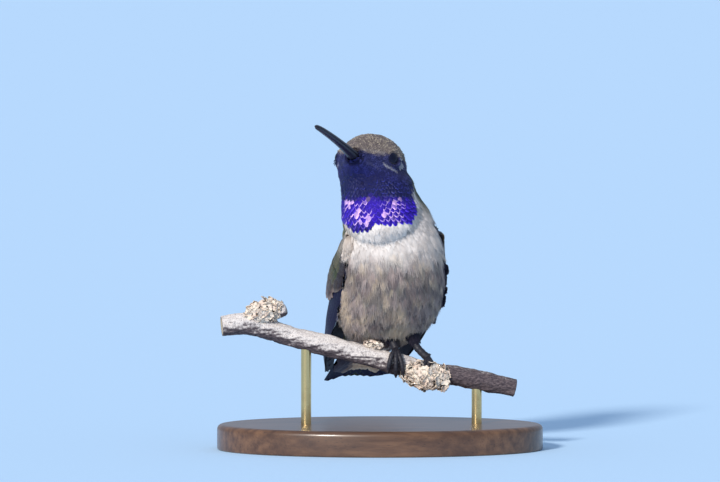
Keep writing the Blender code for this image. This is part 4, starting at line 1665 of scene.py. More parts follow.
    def throat_rows(self) -> tuple[Array, Array]:
        """Sets the throat's scales in even rows round it, each row off by half a scale.

        Returns:
            Their places and normals.
        """
        tree = bvhtree.BVHTree.FromPolygons(self.points.tolist(), self.triangles.tolist())
        chance = np.random.default_rng(self.seed + 3)
        places, normals, bottom, half_row = [], [], 43.4, 12
        for row, height in enumerate(np.arange(bottom, self.rows_top, self.row_step)):
            pace = math.degrees(self.scale_pace * (1 - 0.25 * ramp(47, 53, height)) / 8.0)
            for k in range(-half_row, half_row + 1):
                turn = math.radians(pace * (k + 0.5 * (row % 2)) + 5.0 + chance.normal(0, 0.5))
                way = THROAT.direction((math.cos(turn), math.sin(turn), 0.0))
                middle = THROAT.point((0.4, 0.6, height + chance.normal(0, 0.035)))
                hit, normal, _, _ = tree.ray_cast(Vector(middle + 15.0 * way), Vector(-way))
                if hit is not None:
                    places.append(tuple(hit))
                    normals.append(tuple(normal))
        places, normals = np.array(places), unit(np.array(normals))
        kept = self.tract_of(places, normals) == Tract.THROAT.number
        return places[kept], normals[kept]

    def lie(self, points: Array, normals: Array) -> tuple[Array, Array]:
        """Lays the coat, parted round the eyes and a little ruffled.

        Args:
            points: Roots of the feathers.
            normals: Outward directions there.

        Returns:
            The feathers' directions, and places on the coat's unwrap.
        """
        flow, places = SPINE.follow(points, normals)
        for side in (1, -1):
            _, along, off = EYES.tell(points, side)
            far = np.linalg.norm(off, axis=1, keepdims=True)
            near = ramp(3.4, 1.2, far) * (along > 0)[:, None]
            flow = unit(flow + 0.75 * near * off / np.maximum(far, 1e-6))
        head = HEAD.local(points)
        round_bill = np.hypot(head[:, 1], head[:, 2] + 0.85)
        onto_bill = (round_bill < 1.65) & (head[:, 0] > 5.5)
        inward = np.column_stack((1.6 * round_bill, -head[:, 1], -head[:, 2] - 0.85))
        flow[onto_bill] = unit(HEAD.direction(inward[onto_bill]))
        ruffle = np.column_stack([wobble(points, 0.8, 31.0 + k) for k in range(3)]) * 0.22
        loose = ramp(45.5, 43.5, points[:, 2])[:, None]
        ruffle += loose * np.random.default_rng(self.seed + 2).normal(0, 0.13, points.shape)
        return flat_on(flow + ruffle, normals), places

    def colours(self, points: Array, normals: Array, tract: Array, tip: Array) -> tuple[Array, Array]:
        """Colours the feathers, with painted shade where they meet the wings' front edges.

        Args:
            points: Roots of the feathers.
            normals: Outward directions there.
            tract: Numbers of their regions.
            tip: Where the feathers end.

        Returns:
            The colour of each feather's middle and that of its rim.
        """
        tint, rim = MARKINGS.read(0.35 * points + 0.65 * tip, normals)
        hooded = MARKINGS.hood(points) > 0.5
        below = hooded & (tract == Tract.BREAST.number)
        own_tint, own_rim = MARKINGS.read(points - np.outer(below, (0.0, 0.0, 2.6)), normals)
        tint[hooded], rim[hooded] = own_tint[hooded], own_rim[hooded]
        uneven = np.random.default_rng(self.seed + 1).uniform(-1, 1, (len(points), 1)) * ~hooded[:, None]
        shade = 1.0 + mix(0.15, 0.08, ramp(37, 40, points[:, 2]))[:, None] * uneven
        tint, rim = tint * shade, rim * shade
        for side in Side:
            edge, _, _ = Wing(side).surface(np.linspace(0.0, 0.8, 9), np.zeros(9), np.zeros(9))
            gap = line_distance(tip, edge)
            # painted shade: back feathers near a wing's front edge, and on the left the flank feathers turned away from
            # the front, go dark slate
            dark = 0.9 * ramp(2.6, 1.6, gap) * (tract == Tract.BACK.number)
            if side is Side.LEFT:
                turned = ramp(-0.34, -0.20, normals[:, 1]) * ramp(0.3, 0.6, normals[:, 0]) * ramp(3.4, 2.0, gap)
                dark = np.maximum(dark, 0.9 * turned * ramp(47.5, 46.0, tip[:, 2]) * ramp(21.0, 24.0, tip[:, 2]))
            tint, rim = mix(tint, paint(34, 32, 62), dark), mix(rim, paint(56, 52, 88), dark)
        return tint, rim

    def dress(self) -> None:
        """Shows every region of the coat."""
        points, normals, tract = self.scatter()
        flow, places = self.lie(points, normals)
        length, width, _ = self.measure(points, tract)
        tint, rim = self.colours(points, normals, tract, points + flow * (0.8 * length)[:, None])
        lift = np.full(len(points), math.radians(8.5)) + math.radians(3.5) * wobble(points, 1.3, 37.0)
        flared = ramp(38, 66, MARKINGS.throat_turn(points)) * ramp(52, 49, points[:, 2])
        lift += math.radians(14) * (tract == Tract.THROAT.number) * flared
        roots = Roots(points, normals, flow, np.column_stack((width, length, length)), lift, places, tint, rim)
        for region, (kind, finish) in LOOKS.items():
            chosen = tract == region.number
            log.info("%s: %d feathers", region.value, int(chosen.sum()))
            plant_piece(region.value, roots.only(chosen), kind, finish)


# ---------------- wings and tail

FLIGHT = Plumage(
    "flight_feathers", "feather_dark", barbs=30.0, rough=0.5, sheen=0.02, down=0.8, rim_from=0.9, shaft=0.0, shine=0.15
)
COVERTS = Plumage("wing_coverts", "feather_grey", barbs=12.0, rough=0.48, metal=0.12, sheen=0.1, rim_from=0.6)


class Side(Enum):
    """The bird's two sides, with the sign of its left direction."""

    LEFT = 1
    RIGHT = -1

    @property
    def word(self) -> str:
        """The side's name in node and piece names."""
        return self.name.lower()


@dataclass
class Wing:
    """A folded wing: dark blade, flight feathers and rows of coverts."""

    side: Side
    edge: tuple[Place, ...] = ((6.5, 9.3, 42.2), (2.6, 10.2, 27.6), (-17.6, 9.8, 16.0), (-28.2, 7.5, 13.0))
    lean: float = -0.7
    across: Place = (-0.66, -0.30, 0.73)
    widths: tuple[float, ...] = (5.0, 8.4, 9.5, 9.0, 7.6, 6.0, 4.6, 3.3, 2.2, 0.8)
    width_samples: int = 181
    arch: float = 0.029
    primary_tips: tuple[float, ...] = (1.0, 0.968, 0.93, 0.888, 0.845, 0.80, 0.755, 0.71, 0.67, 0.635)
    secondary_tips: tuple[float, ...] = (0.60, 0.575, 0.55, 0.525, 0.50, 0.475)
    vane_width: float = 2.5
    step: float = 0.038
    blade: float = 0.35
    tuck: float = 1.2
    web_width: float = 3.3
    web_root: float = 0.36
    covert_root: float = 0.40
    shoulder_feathers: int = 190

    def width(self, t: Array) -> Array:
        """The wing's breadth at shares of its length."""
        read = smooth_rows(np.transpose([self.widths]), self.width_samples)[:, 0]
        return np.interp(t, np.linspace(0, 1, len(read)), read)

    def frame_at(self, t: Array) -> tuple[Array, Array, Array, Array]:
        """Follows the wing's front edge.

        Args:
            t: Shares of its length.

        Returns:
            Places on the edge, and the directions along, across and outwards.
        """
        t = np.asarray(t, float)[:, None]
        a, b, c, d = (np.array(p, float) for p in self.edge)
        place = (1 - t) ** 3 * a + 3 * (1 - t) ** 2 * t * b + 3 * (1 - t) * t * t * c + t**3 * d
        along = unit(3 * (1 - t) ** 2 * (b - a) + 6 * (1 - t) * t * (c - b) + 3 * t * t * (d - c))
        way = np.array(self.across)
        aside = unit(way - (along @ way)[:, None] * along)
        out = np.cross(aside, along)
        out *= np.sign(out[:, 1:2])
        return place, along, aside, out

    def surface(self, t: Array, distance: Array, height: Array) -> tuple[Array, Array, Array]:
        """Places on the arched wing.

        Args:
            t: Shares of its length.
            distance: Millimetres from its front edge.
            height: Millimetres out of it.

        Returns:
            World places, outward directions and directions along the feathers.
        """
        t, distance, height = np.broadcast_arrays(*(np.asarray(v, float).ravel() for v in (t, distance, height)))
        place, along, aside, out = self.frame_at(t)
        breadth, far = self.width(t)[:, None], distance[:, None]
        s = far / breadth
        normal = unit(out - 4 * self.arch * breadth * (1 - 2 * s) * aside)
        local = place + far * aside + 4 * self.arch * breadth**2 * s * (1 - s) * out + height[:, None] * normal
        flip = np.array((1.0, self.side.value, 1.0))
        tuck = self.lean * (1 - t)
        if self.side is Side.LEFT:
            tuck = tuck - self.tuck * ramp(0.45, 0.8, t)
        else:
            tuck = tuck + 0.6 * ramp(0.04, 0.18, t) - 0.6 * ramp(0.38, 0.55, t) + 0.7 * ramp(0.72, 0.95, t)
        shift = np.column_stack((np.zeros(len(t)), tuck, np.zeros(len(t))))
        return BODY.point(local * flip + shift), BODY.direction(normal * flip), BODY.direction(along * flip)

    def patches(self, t: Array, distance: Array) -> Array:
        """Places on the wing's unwrap."""
        half = 0.02 if self.side is Side.LEFT else 0.52
        return np.column_stack((half + 0.45 * np.ravel(distance) / 10.5, 0.02 + 0.95 * np.ravel(t)))

    def add_blade(self, pile: MeshPile) -> None:
        """Adds the dark under-layer, a closed thin sheet just inside the outline.

        Args:
            pile: Where it goes.
        """
        rows, columns = 60, 12
        t = np.linspace(0.0, 0.985, rows)
        share = np.linspace(0, 1, columns)
        distance = (self.blade + (self.width(t)[:, None] - 2 * self.blade) * share).ravel()
        t_grid = np.repeat(t, columns)
        top, low = (self.surface(t_grid, distance, np.full(len(distance), height))[0] for height in (0.12, -0.45))
        count, last = rows * columns, (rows - 1) * columns
        ring = [*range(columns)]
        ring += [r * columns + columns - 1 for r in range(1, rows)]
        ring += [last + c for c in range(columns - 2, -1, -1)]
        ring += [r * columns for r in range(rows - 2, 0, -1)]
        faces = flat_faces(rows, columns)
        faces += turned_over(faces, count)
        faces += [(a, count + a, count + b, b) for a, b in zip(ring, ring[1:] + ring[:1])]
        looks = {"tint": paint(30, 24, 29), "rim": paint(34, 28, 33), "vane": (0.3, 0.6, 0.0)}
        pile.add(np.vstack((top, low)), faces, **looks, patch=np.tile(self.patches(t_grid, distance), (2, 1)))

    def add_quill(
        self, pile: MeshPile, start: float, tip: float, offset: Callable[[Array], Array], layer: float, **looks: Array
    ) -> None:
        """Adds one flight feather as a curved vane with its shaft.

        Args:
            pile: Where it goes.
            start: Share of the wing's length at its visible root.
            tip: Share of the wing's length at its tip.
            offset: Distance of its outer edge from the wing's edge, by share of length.
            layer: Its place in the stack; higher ones lie on top.
            **looks: Colours of its web, tint, and of its edge, rim.
        """
        rows, columns = 30, 7
        v = np.linspace(0, 1, rows)
        t = start + (tip - start) * v
        left = offset(t)
        right = np.minimum(left + self.vane_width, np.maximum(self.width(t), left + 0.5))
        left = np.minimum(left, right - 0.4)
        close = np.clip((tip - t) / (0.085 + 0.02 * (tip - start)), 0, 1)
        narrow = np.sqrt(np.clip(1 - (1 - close) ** 2, 0, 1)) * 0.97 + 0.03
        middle, half = left + 0.42 * (right - left), 0.5 * (right - left)
        centre = mix(0.5 * (left + right), middle, 1 - narrow)
        u = np.linspace(-1, 1, columns)
        distance = (centre[:, None] + half[:, None] * narrow[:, None] * u).ravel()
        camber = 0.10 * (1 - u * u) + 0.07 * np.exp(-((u + 0.3) ** 2) / 0.02)
        height = np.tile(0.16 + self.step * layer + camber, rows)
        height -= np.repeat(0.05 * layer * v**2 * self.step, columns)
        points, _, _ = self.surface(np.repeat(t, columns), distance, height)
        values = vane_grid(u, v)
        spot = spot_round(self.patches([0.5 * (start + tip)], [left.mean()])[0], values)
        faces = flat_faces(rows, columns)
        if self.side is Side.RIGHT:
            faces = turned_over(faces)
        pile.add(points, faces, **looks, vane=values, patch=spot)

    def add_quills(self, pile: MeshPile) -> None:
        """Adds ten primaries and six secondaries, the inner ones over the outer.

        Args:
            pile: Where they go.
        """
        chance = np.random.default_rng(70 + self.side.value)
        for i, tip in enumerate(self.primary_tips):
            shade = 1.0 + 0.18 * (chance.random() - 0.5)

            def outer(t: Array, i: int = i) -> Array:
                """Outer edge of this primary."""
                return self.width(t) * 0.60 * (i / 10.0) ** 0.95

            looks = {"tint": np.array(paint(23, 20, 54)) * shade, "rim": paint(48, 46, 96)}
            self.add_quill(pile, 0.26 + 0.008 * i, tip, outer, i, **looks)
        for i, tip in enumerate(self.secondary_tips):
            shade = 1.0 + 0.2 * (chance.random() - 0.5)

            def inner(t: Array, i: int = i) -> Array:
                """Outer edge of this secondary."""
                return self.width(t) * (0.56 + 0.42 * (i / 6.0))

            looks = {"tint": np.array(paint(36, 28, 46)) * shade, "rim": paint(84, 70, 84)}
            self.add_quill(pile, 0.24, tip, inner, 10 + 0.4 * i, **looks)

    def add_inner_webs(self, pile: MeshPile) -> None:
        """Adds the inner webs of the outer primaries, turned in behind the flank.

        Args:
            pile: Where they go.
        """
        rows, columns = 34, 6
        way = BODY.direction(unit(np.array((-0.55, -0.83 * self.side.value, 0.08))))
        v, s = np.linspace(0, 1, rows), np.linspace(0, 1, columns)
        values, faces = vane_grid(2 * s - 1, v), flat_faces(rows, columns)
        if self.side is Side.LEFT:
            faces = turned_over(faces)
        looks = {"tint": paint(30, 24, 40), "rim": paint(56, 48, 68), "vane": values}
        for layer, tip in enumerate((0.93, 0.86, 0.79)):
            t = self.web_root + (tip - self.web_root) * v
            reach = self.web_width * (0.75 + 0.12 * layer) * np.sqrt(np.clip(1 - v**3, 0, 1)) * ramp(-0.2, 0.25, v)
            root, out, _ = self.surface(t, np.full(rows, 0.12), np.full(rows, -0.2 - 0.08 * layer))
            bend = (0.35 * s * s)[None, :, None] * out[:, None]
            points = root[:, None] + (reach[:, None] * s)[:, :, None] * way - bend
            spot = spot_round(self.patches([0.6], [0.3 * layer])[0], values)
            pile.add(points.reshape(-1, 3), faces, **looks, patch=spot)

    def shoulder_roots(self) -> Roots:
        """Places the breast's side feathers, which lie over the wing's front edge.

        Returns:
            Their roots.
        """
        chance = np.random.default_rng(110 + self.side.value)
        count = self.shoulder_feathers
        t = 0.066 * chance.random(count) - 0.004
        inward = 1.9 * chance.random(count) - (0.3 if self.side is Side.RIGHT else -0.9)
        edge, out, along = self.surface(t, np.full(count, 0.1), np.full(count, 0.05))
        points = edge + inward[:, None] * BODY.direction((0.30, -0.95 * self.side.value, 0.0))
        facing = unit(out * 0.75 + BODY.direction((0.9, 0.0, 0.0)))
        flow = unit(along + 0.10 * BODY.direction((-1.0, 0.0, 0.0)) + chance.normal(0, 0.05, (count, 3)))
        tint, rim = MARKINGS.read(points, np.broadcast_to(BODY.axes[0], points.shape))
        shade = 0.86 + 0.2 * chance.random((count, 1))
        warm = mix(tint, paint(176, 156, 140), 0.6) * shade
        length = 2.3 + 0.8 * chance.random(count)
        sizes = np.column_stack((np.ones(count), length, length))
        lift, places = np.full(count, math.radians(1.5)), self.patches(t, inward + 1)
        return Roots(points, facing, flat_on(flow, facing), sizes, lift, places, warm, rim * shade)

    def covert_rows(self) -> Array:
        """Sets the coverts out in rows.

        Returns:
            Share of the wing's length, distance from its edge, length, width and row of each.
        """
        chance = np.random.default_rng(90 + self.side.value)
        found = []
        for k in range(23):
            t = self.covert_root - 0.018 * k
            size = 1.25 + 4.2 * float(ramp(0.05, 0.36, t))
            if size > 2.6 and k % 2:
                continue
            wide = 0.36 * size + 0.35
            for d in np.arange(0.15, float(self.width(t)), wide * 0.62):
                if t < self.covert_root - 0.12 * float(ramp(4.2, 1.2, d)):
                    at = t + 0.008 * (chance.random() - 0.5)
                    found.append((at, d + 0.2 * (chance.random() - 0.5), size, wide, k))
        return np.array(found).T

    def covert_colours(self, t: Array, d: Array, fine: Array, broad: Array) -> tuple[Array, Array]:
        """Colours the coverts: green above, pale at the front edge's top, with painted shade along it below, where the
        wing meets the breast.

        Args:
            t: Shares of the wing's length.
            d: Distances from its edge.
            fine: Fine noise at each.
            broad: Broad noise at each.

        Returns:
            The colour of each one's middle and that of its rim.
        """
        upper = ramp(0.34, 0.20, t)
        green = mix(paint(62, 70, 44), paint(104, 92, 66), np.clip(0.35 + broad, 0, 1))
        tint = mix(paint(76, 60, 62), green, upper)
        rim = mix(paint(158, 136, 128), paint(190, 174, 146), upper * np.clip(0.6 + fine, 0, 1))
        edge = ramp(5.2, 3.0, d + 0.6 * fine) * ramp(0.14, 0.07, t)
        tint, rim = mix(tint, paint(176, 160, 144), edge * 0.85), mix(rim, paint(206, 190, 170), edge * 0.85)
        # painted shade in the gap between the wing's front edge and the breast
        gap = ramp(1.9, 1.1, d) * ramp(0.06, 0.11, t)
        return mix(tint, paint(50, 40, 50), gap * 0.9), mix(rim, paint(104, 88, 88), gap * 0.8)

    def covert_roots(self) -> Roots:
        """Places the coverts in rows, larger towards the flight feathers.

        Returns:
            Their roots.
        """
        t, d, size, wide, k = self.covert_rows()
        d = np.clip(d, 0.40 * wide, self.width(t) - 0.25 * wide)
        root_t = np.maximum(t - size * 0.45 / 45.0, 0.0)
        share = d / self.width(t)
        stack = 0.16 + self.step * np.where(share < 0.56, share / 0.06, 9.5 + (share - 0.56) * 6.0)
        points, out, flow = self.surface(root_t, d, 0.12 + 0.014 * k + stack * ramp(0.12, 0.24, t))
        tint, rim = self.covert_colours(t, d, wobble(points, 1.7, 43.0), wobble(points, 0.5, 47.0))
        aside = BODY.direction(self.frame_at(root_t)[2] * (1.0, self.side.value, 1.0))
        flow = unit(flow + (0.30 * ramp(2.2, 0.2, d))[:, None] * aside)
        lift, sizes = np.full(len(points), math.radians(2.0)), np.column_stack((wide, size, size))
        return Roots(points, out, flow, sizes, lift, self.patches(t, d), tint, rim)

    def dress(self) -> None:
        """Shows the wing."""
        pile, word = MeshPile(), self.side.word
        self.add_quills(pile)
        self.add_inner_webs(pile)
        self.add_blade(pile)
        present(pile.mesh(f"wing_{word}_quills"), f"wing_{word}_quills", FLIGHT, [f"wing_{word}_feathers"])
        covered = [f"wing_{word}_coverts"]
        plant_piece(f"wing_{word}_rows", self.covert_roots(), VaneKind.FIRM, COVERTS, covered, 0.08)
        plant_piece(f"shoulder_{word}", self.shoulder_roots(), VaneKind.SOFT, GREY_COAT)


@dataclass
class Tail:
    """Ten tail feathers, the middle pair on top."""

    root: Place = (-11.5, -0.3, 27.2)
    slope: float = 37.0
    length: float = 25.3
    trims: tuple[float, ...] = (0.0, -0.05, 0.4, 0.1, 0.0, 0.0, 0.05, 0.2, 0.9, 1.8)
    half_spread: float = 13.5
    root_half_width: float = 1.0
    arch: float = 0.035
    vane_width: float = 4.3
    thickness: float = 0.10

    def normal(self) -> Array:
        """The way its upper side looks."""
        slope = math.radians(self.slope)
        return BODY.direction((-math.sin(slope), 0, math.cos(slope)))

    def place(self, across: Array, out: Array, height: Array) -> Array:
        """World places on the fan.

        Args:
            across: Shares across it, -1 to 1.
            out: Distances from its root.
            height: Heights over it.

        Returns:
            One place for each.
        """
        slope = math.radians(self.slope)
        along = BODY.direction((-math.cos(slope), 0, -math.sin(slope)))
        a = across * math.radians(self.half_spread)
        side = out * np.sin(a) + across * self.root_half_width
        parts = ((out * np.cos(a), along), (side, BODY.axes[1]), (height - self.arch * side**2, self.normal()))
        return BODY.point(self.root) + sum(far[:, None] * way for far, way in parts)

    def build(self) -> MeshPile:
        """Draws each feather as a thin blade with a pointed tip.

        Returns:
            All of them.
        """
        pile = MeshPile()
        rows, columns = 34, 9
        u, v = np.linspace(-1, 1, columns), np.linspace(0, 1, rows)
        values, faces = vane_grid(u, v), flat_faces(rows, columns)
        tip = np.clip((1 - v) / 0.16, 0, 1)
        half = 0.5 * self.vane_width * (0.45 + 0.55 * ramp(0, 0.6, v)) * np.sqrt(1 - (1 - tip) ** 2)
        camber = np.tile(0.16 * (1 - u * u) + 0.10 * np.exp(-(u**2) / 0.012), rows)
        for k, trim in enumerate(self.trims):
            centre, off_middle = -1 + 2 * k / 9, abs(k - 4.5)
            out = 1.0 + (self.length - trim - 0.25 - 1.0) * v
            inward = 0.82 * centre
            spread = np.radians(self.half_spread) * out + self.root_half_width
            room = np.minimum(half, np.maximum((1.0 - abs(inward)) * spread, 0.9))
            left, right = (room if centre * way > 0.7 else half for way in (-1, 1))
            aside = np.where(u[None, :] < 0, u[None, :] * left[:, None], u[None, :] * right[:, None])
            across = (inward + aside / spread[:, None]).ravel()
            height = 0.30 - 0.075 * off_middle + camber
            top, low = (self.place(across, np.repeat(out, columns), height - deep) for deep in (0.0, self.thickness))
            tint, rim = paint(27, 27, 60), paint(56, 54, 88)
            if off_middle < 1.0:
                tint, rim = paint(50, 60, 48), paint(92, 92, 76)
            own = {"vane": values, "patch": spot_round((0.05 + 0.09 * k, 0.5), values)}
            pile.add(top, faces, tint=tint, rim=rim, **own)
            pile.add(low, turned_over(faces), tint=np.multiply(tint, 0.8), rim=np.multiply(rim, 0.8), **own)
        return pile

    def covert_roots(self, above: bool) -> Roots:
        """Places the feathers that cover the tail's base.

        Args:
            above: Whether those above it or those below.

        Returns:
            Their roots.
        """
        chance = np.random.default_rng(130 + above)
        first, reach, aside = (5.0, 16.0, 0.9) if above else (8.0, 19.1, 1.0)
        found = []
        for out in np.arange(first, reach, 0.75 if above else 0.7):
            half = aside * (math.radians(self.half_spread) * out + 1.6) * (1 - 0.018 * out)
            for side in np.arange(-half, half + 0.01, 0.8):
                found.append((out + 0.3 * chance.random(), side + 0.3 * (chance.random() - 0.5)))
        out, side = np.array(found).T
        across = side / (math.radians(self.half_spread) * out + self.root_half_width)
        knots = ((5, 8, 12, 14, 20), (2.9, 1.9, 1.6, 1.15, 0.5)) if above else ((8, 12, 15, 20), (4.5, 3.3, 1.7, 0.4))
        sign, bend = (1.0, 0.05) if above else (-1.0, 0.10)
        points, ahead = (
            self.place(across, away, sign * (np.interp(away, *knots) - bend * side**2 * ramp(18, 12, away)))
            for away in (out, out + 1.5)
        )
        flow = unit(ahead - points + chance.normal(0, 0.03, points.shape))
        length = (3.4 if above else 3.6) + 0.8 * chance.random(len(points))
        fine = wobble(points, 1.5, 71.0)
        if above:
            tint, rim = mix(paint(66, 84, 50), paint(110, 104, 70), np.clip(0.4 + fine, 0, 1)), paint(150, 140, 104)
        else:
            tint = mix(paint(238, 190, 146), paint(184, 144, 118), np.clip(0.35 + 0.9 * fine, 0, 1) * 0.8)
            outer = np.maximum(ramp(-0.10, -0.62, across), ramp(0.72, 0.95, across))
            tint, rim = mix(tint, paint(66, 58, 72), outer), mix(paint(240, 206, 172), paint(88, 78, 88), outer)
        normals, rim = (np.broadcast_to(rows, points.shape) for rows in (self.normal() * sign, rim))
        lift = np.full(len(points), math.radians(1.0))
        places = np.column_stack((0.5 + 0.3 * across, 0.7 + 0.25 * out / reach))
        sizes = np.column_stack((0.5 * length, length, 0.6 * length))
        return Roots(points, normals, flow, sizes, lift, places, tint, rim)

    def dress(self) -> None:
        """Shows the tail."""
        plant_piece("tail_covers_above", self.covert_roots(True), VaneKind.FIRM, BACK_COAT)
        plant_piece("tail_covers_below", self.covert_roots(False), VaneKind.FIRM, GREY_COAT)
        present(self.build().mesh("tail_feathers"), "tail_feathers", FLIGHT, ["tail"])


# ---------------- bill, eyes and feet

BILL_HORN = Horn("bill_horn", "horn_black", (0.011, 0.009, 0.020), (0.046, 0.036, 0.058), rough=0.38, gloss=0.12)
LID_SKIN = Horn("lid_skin", "horn_black", (0.008, 0.008, 0.014), (0.022, 0.021, 0.034), rough=0.7, gloss=0.0)
TOE_HORN = Horn("toe_horn", "horn_black", (0.010, 0.009, 0.016), (0.030, 0.026, 0.036), rough=0.6, gloss=0.05)


@dataclass
class Bill:
    """The long bill, its two halves parted by a fine line."""

    stations: tuple[tuple[float, ...], ...] = (
        (6.4, 0, -0.90, 1.30, 1.10),
        (9.0, 0, -0.83, 1.12, 0.96),
        (13.0, 0, -0.76, 0.90, 0.80),
        (18.0, 0, -0.84, 0.74, 0.68),
        (23.0, 0, -1.12, 0.60, 0.56),
        (25.6, 0, -1.42, 0.42, 0.42),
    )
    parting: float = 0.08
    rows: int = 110
    sides: int = 22
    flat_sides: int = 5
    nostril: float = 0.62

    def ring(self, upper: bool, end: float, station: Array) -> Array:
        """Draws one ring of a half; the upper has a ridge, overhanging edges and slit nostrils.

        Args:
            upper: Whether of the upper half.
            end: Share of the bill's length.
            station: Forward, aside, up, half breadth and depth.

        Returns:
            Its points, the round side before the flat one.
        """
        forward, _, up, wide, deep = station
        close = np.sqrt(1 - np.clip((end - 0.90) / 0.10, 0, 1) ** 2) ** 0.8
        flare = 1.0 + 0.04 * float(ramp(9.6, 7.6, forward))
        wide, deep = (size * flare * (0.15 + 0.85 * close) for size in (wide, deep))
        parting = self.parting * (0.1 + 0.9 * close)
        turn = np.linspace(0, math.pi, self.sides - self.flat_sides)
        if upper:
            aside, seam = wide * np.cos(turn), -0.03
            above = parting + (deep - parting) * np.sin(turn) ** 0.9
            above += 0.10 * deep * np.exp(-((turn - math.pi / 2) ** 2) / 0.05)
            slit = ramp(8.0, 8.5, forward) * ramp(10.3, 9.4, forward)
            for at in (self.nostril, math.pi - self.nostril):
                aside = aside * (1 - 0.20 * slit * np.exp(-((turn - at) ** 2) / 0.012))
        else:
            wide, forward = 0.90 * wide, forward - 0.25 * end
            aside, seam = wide * np.cos(turn), 0.03
            above = -parting - (0.92 * deep - parting) * np.sin(turn) ** 1.1
        aside = np.append(aside, np.linspace(-1, 1, self.flat_sides + 2)[1:-1] * wide)
        above = np.append(above, np.full(self.flat_sides, seam)) + up
        return HEAD.point(np.column_stack((np.full(self.sides, forward), aside, above)))

    def build(self, upper: bool) -> Mesh:
        """Builds one half.

        Args:
            upper: Whether the upper one.

        Returns:
            Its closed mesh.
        """
        stations = zip(np.linspace(0, 1, self.rows), smooth_rows(self.stations, self.rows))
        rings = [self.ring(upper, end, station) for end, station in stations]
        points = np.vstack((*rings, rings[0].mean(axis=0), rings[-1].mean(axis=0)))
        return face_out(plain_mesh("bill_half", points, capped_faces(self.rows, self.sides)))

    def dress(self) -> None:
        """Shows both halves."""
        for upper, name, node in ((True, "bill_ridge_half", "bill_upper"), (False, "bill_under_half", "bill_lower")):
            present(self.build(upper), name, BILL_HORN, [node])


@dataclass
class Eye:
    """An eyeball with its pupil and iris, and the bare lid round it."""

    side: Side
    rings: int = 30
    sectors: int = 56
    pupil: float = 0.72
    lid_radius: float = 0.075
    lid_rings: int = 72
    lid_sides: int = 10

    def basis(self) -> tuple[Array, Array, Array]:
        """Finds the eye's own directions.

        Returns:
            Across, up and out of its opening.
        """
        out = EYES.axis(self.side.value)
        across = unit(np.cross(HEAD.axes[2], out))
        return across, np.cross(out, across), out

    def build_ball(self) -> Mesh:
        """Builds a ball with its pole at the pupil, bulging a little in front.

        Returns:
            Its mesh, tinted from pupil to iris.
        """
        across, up, out = self.basis()
        angles, turn = np.linspace(0, math.pi, self.rings), full_turn(self.sectors)[None, :, None]
        radius = EYES.radius * (1 + 0.006 * np.exp(-((angles / 0.6) ** 2)))
        off, far = radius * np.sin(angles), radius * np.cos(angles)
        aside = off[:, None, None] * (np.cos(turn) * across + np.sin(turn) * up)
        points = (EYES.centre(self.side.value) + aside + far[:, None, None] * out).reshape(-1, 3)
        iris = ramp(self.pupil - 0.25, self.pupil + 0.25, off) * ramp(-0.2, 0.3, far)
        tint = np.repeat(mix(paint(8, 12, 36), paint(15, 17, 44), iris), self.sectors, axis=0)
        pile = MeshPile()
        pile.add(points, flat_faces(self.rings, self.sectors, closed=True), tint=tint)
        return face_out(pile.mesh("eye_ball"), WELD)

    def build_lid(self) -> Mesh:
        """Builds a fine fleshy ring, a little pointed before and behind.

        Returns:
            Its mesh.
        """
        across, up, out = self.basis()
        centre, count, sides = EYES.centre(self.side.value), self.lid_rings, self.lid_sides
        turn, angle = full_turn(count), full_turn(sides)[:, None]
        reach = EYES.opening * (1 + 0.07 * np.cos(2 * turn) + 0.015 * np.cos(9 * turn))
        height = np.sqrt(np.maximum(EYES.radius**2 - reach**2, 0.1)) + 0.02
        parts = ((reach * np.cos(turn), across), (reach * 0.97 * np.sin(turn), up), (height, out))
        points = []
        for k, place in enumerate(centre + sum(far[:, None] * way for far, way in parts)):
            away = unit(place - centre - ((place - centre) @ out) * out)
            thick = self.lid_radius * (1 + 0.12 * math.sin(23 * turn[k]))
            points.append(place + thick * (np.cos(angle) * away * 1.25 + np.sin(angle) * out * 0.8))
        faces, last = flat_faces(count, sides, closed=True), (count - 1) * sides
        faces += [(last + c, last + (c + 1) % sides, (c + 1) % sides, c) for c in range(sides)]
        return face_out(plain_mesh("eye_lid", np.vstack(points), faces))

    def dress(self) -> None:
        """Shows ball and lid."""
        word = self.side.word
        present(self.build_ball(), f"eye_ball_{word}", EyeGloss("wet_eye", "eye"), [f"eye_{word}"])
        present(self.build_lid(), f"eye_lid_{word}", LID_SKIN)


BRANCH_LINE = (
    (-31, -1.6, 24.3),
    (-26.5, -1, 24.7),
    (-22.5, -0.5, 23.9),
    (-17, 0, 22),
    (-10, 0.1, 20.3),
    (-2, 0, 18.2),
    (8, 0.1, 15.7),
    (17, 0.9, 14),
    (26.5, 2.2, 11.9),
)


def branch_radius(x: Array) -> Array:
    """The branch's plain radius along X."""
    return 1.95 + 0.12 * np.sin(0.45 * np.asarray(x, float)) - 0.004 * np.asarray(x, float)


def branch_centre(x: Array) -> Array:
    """Middle of the branch at places along X."""
    read = smooth_rows(BRANCH_LINE, 400)
    return np.column_stack([np.interp(np.ravel(x), read[:, 0], read[:, axis]) for axis in range(3)])


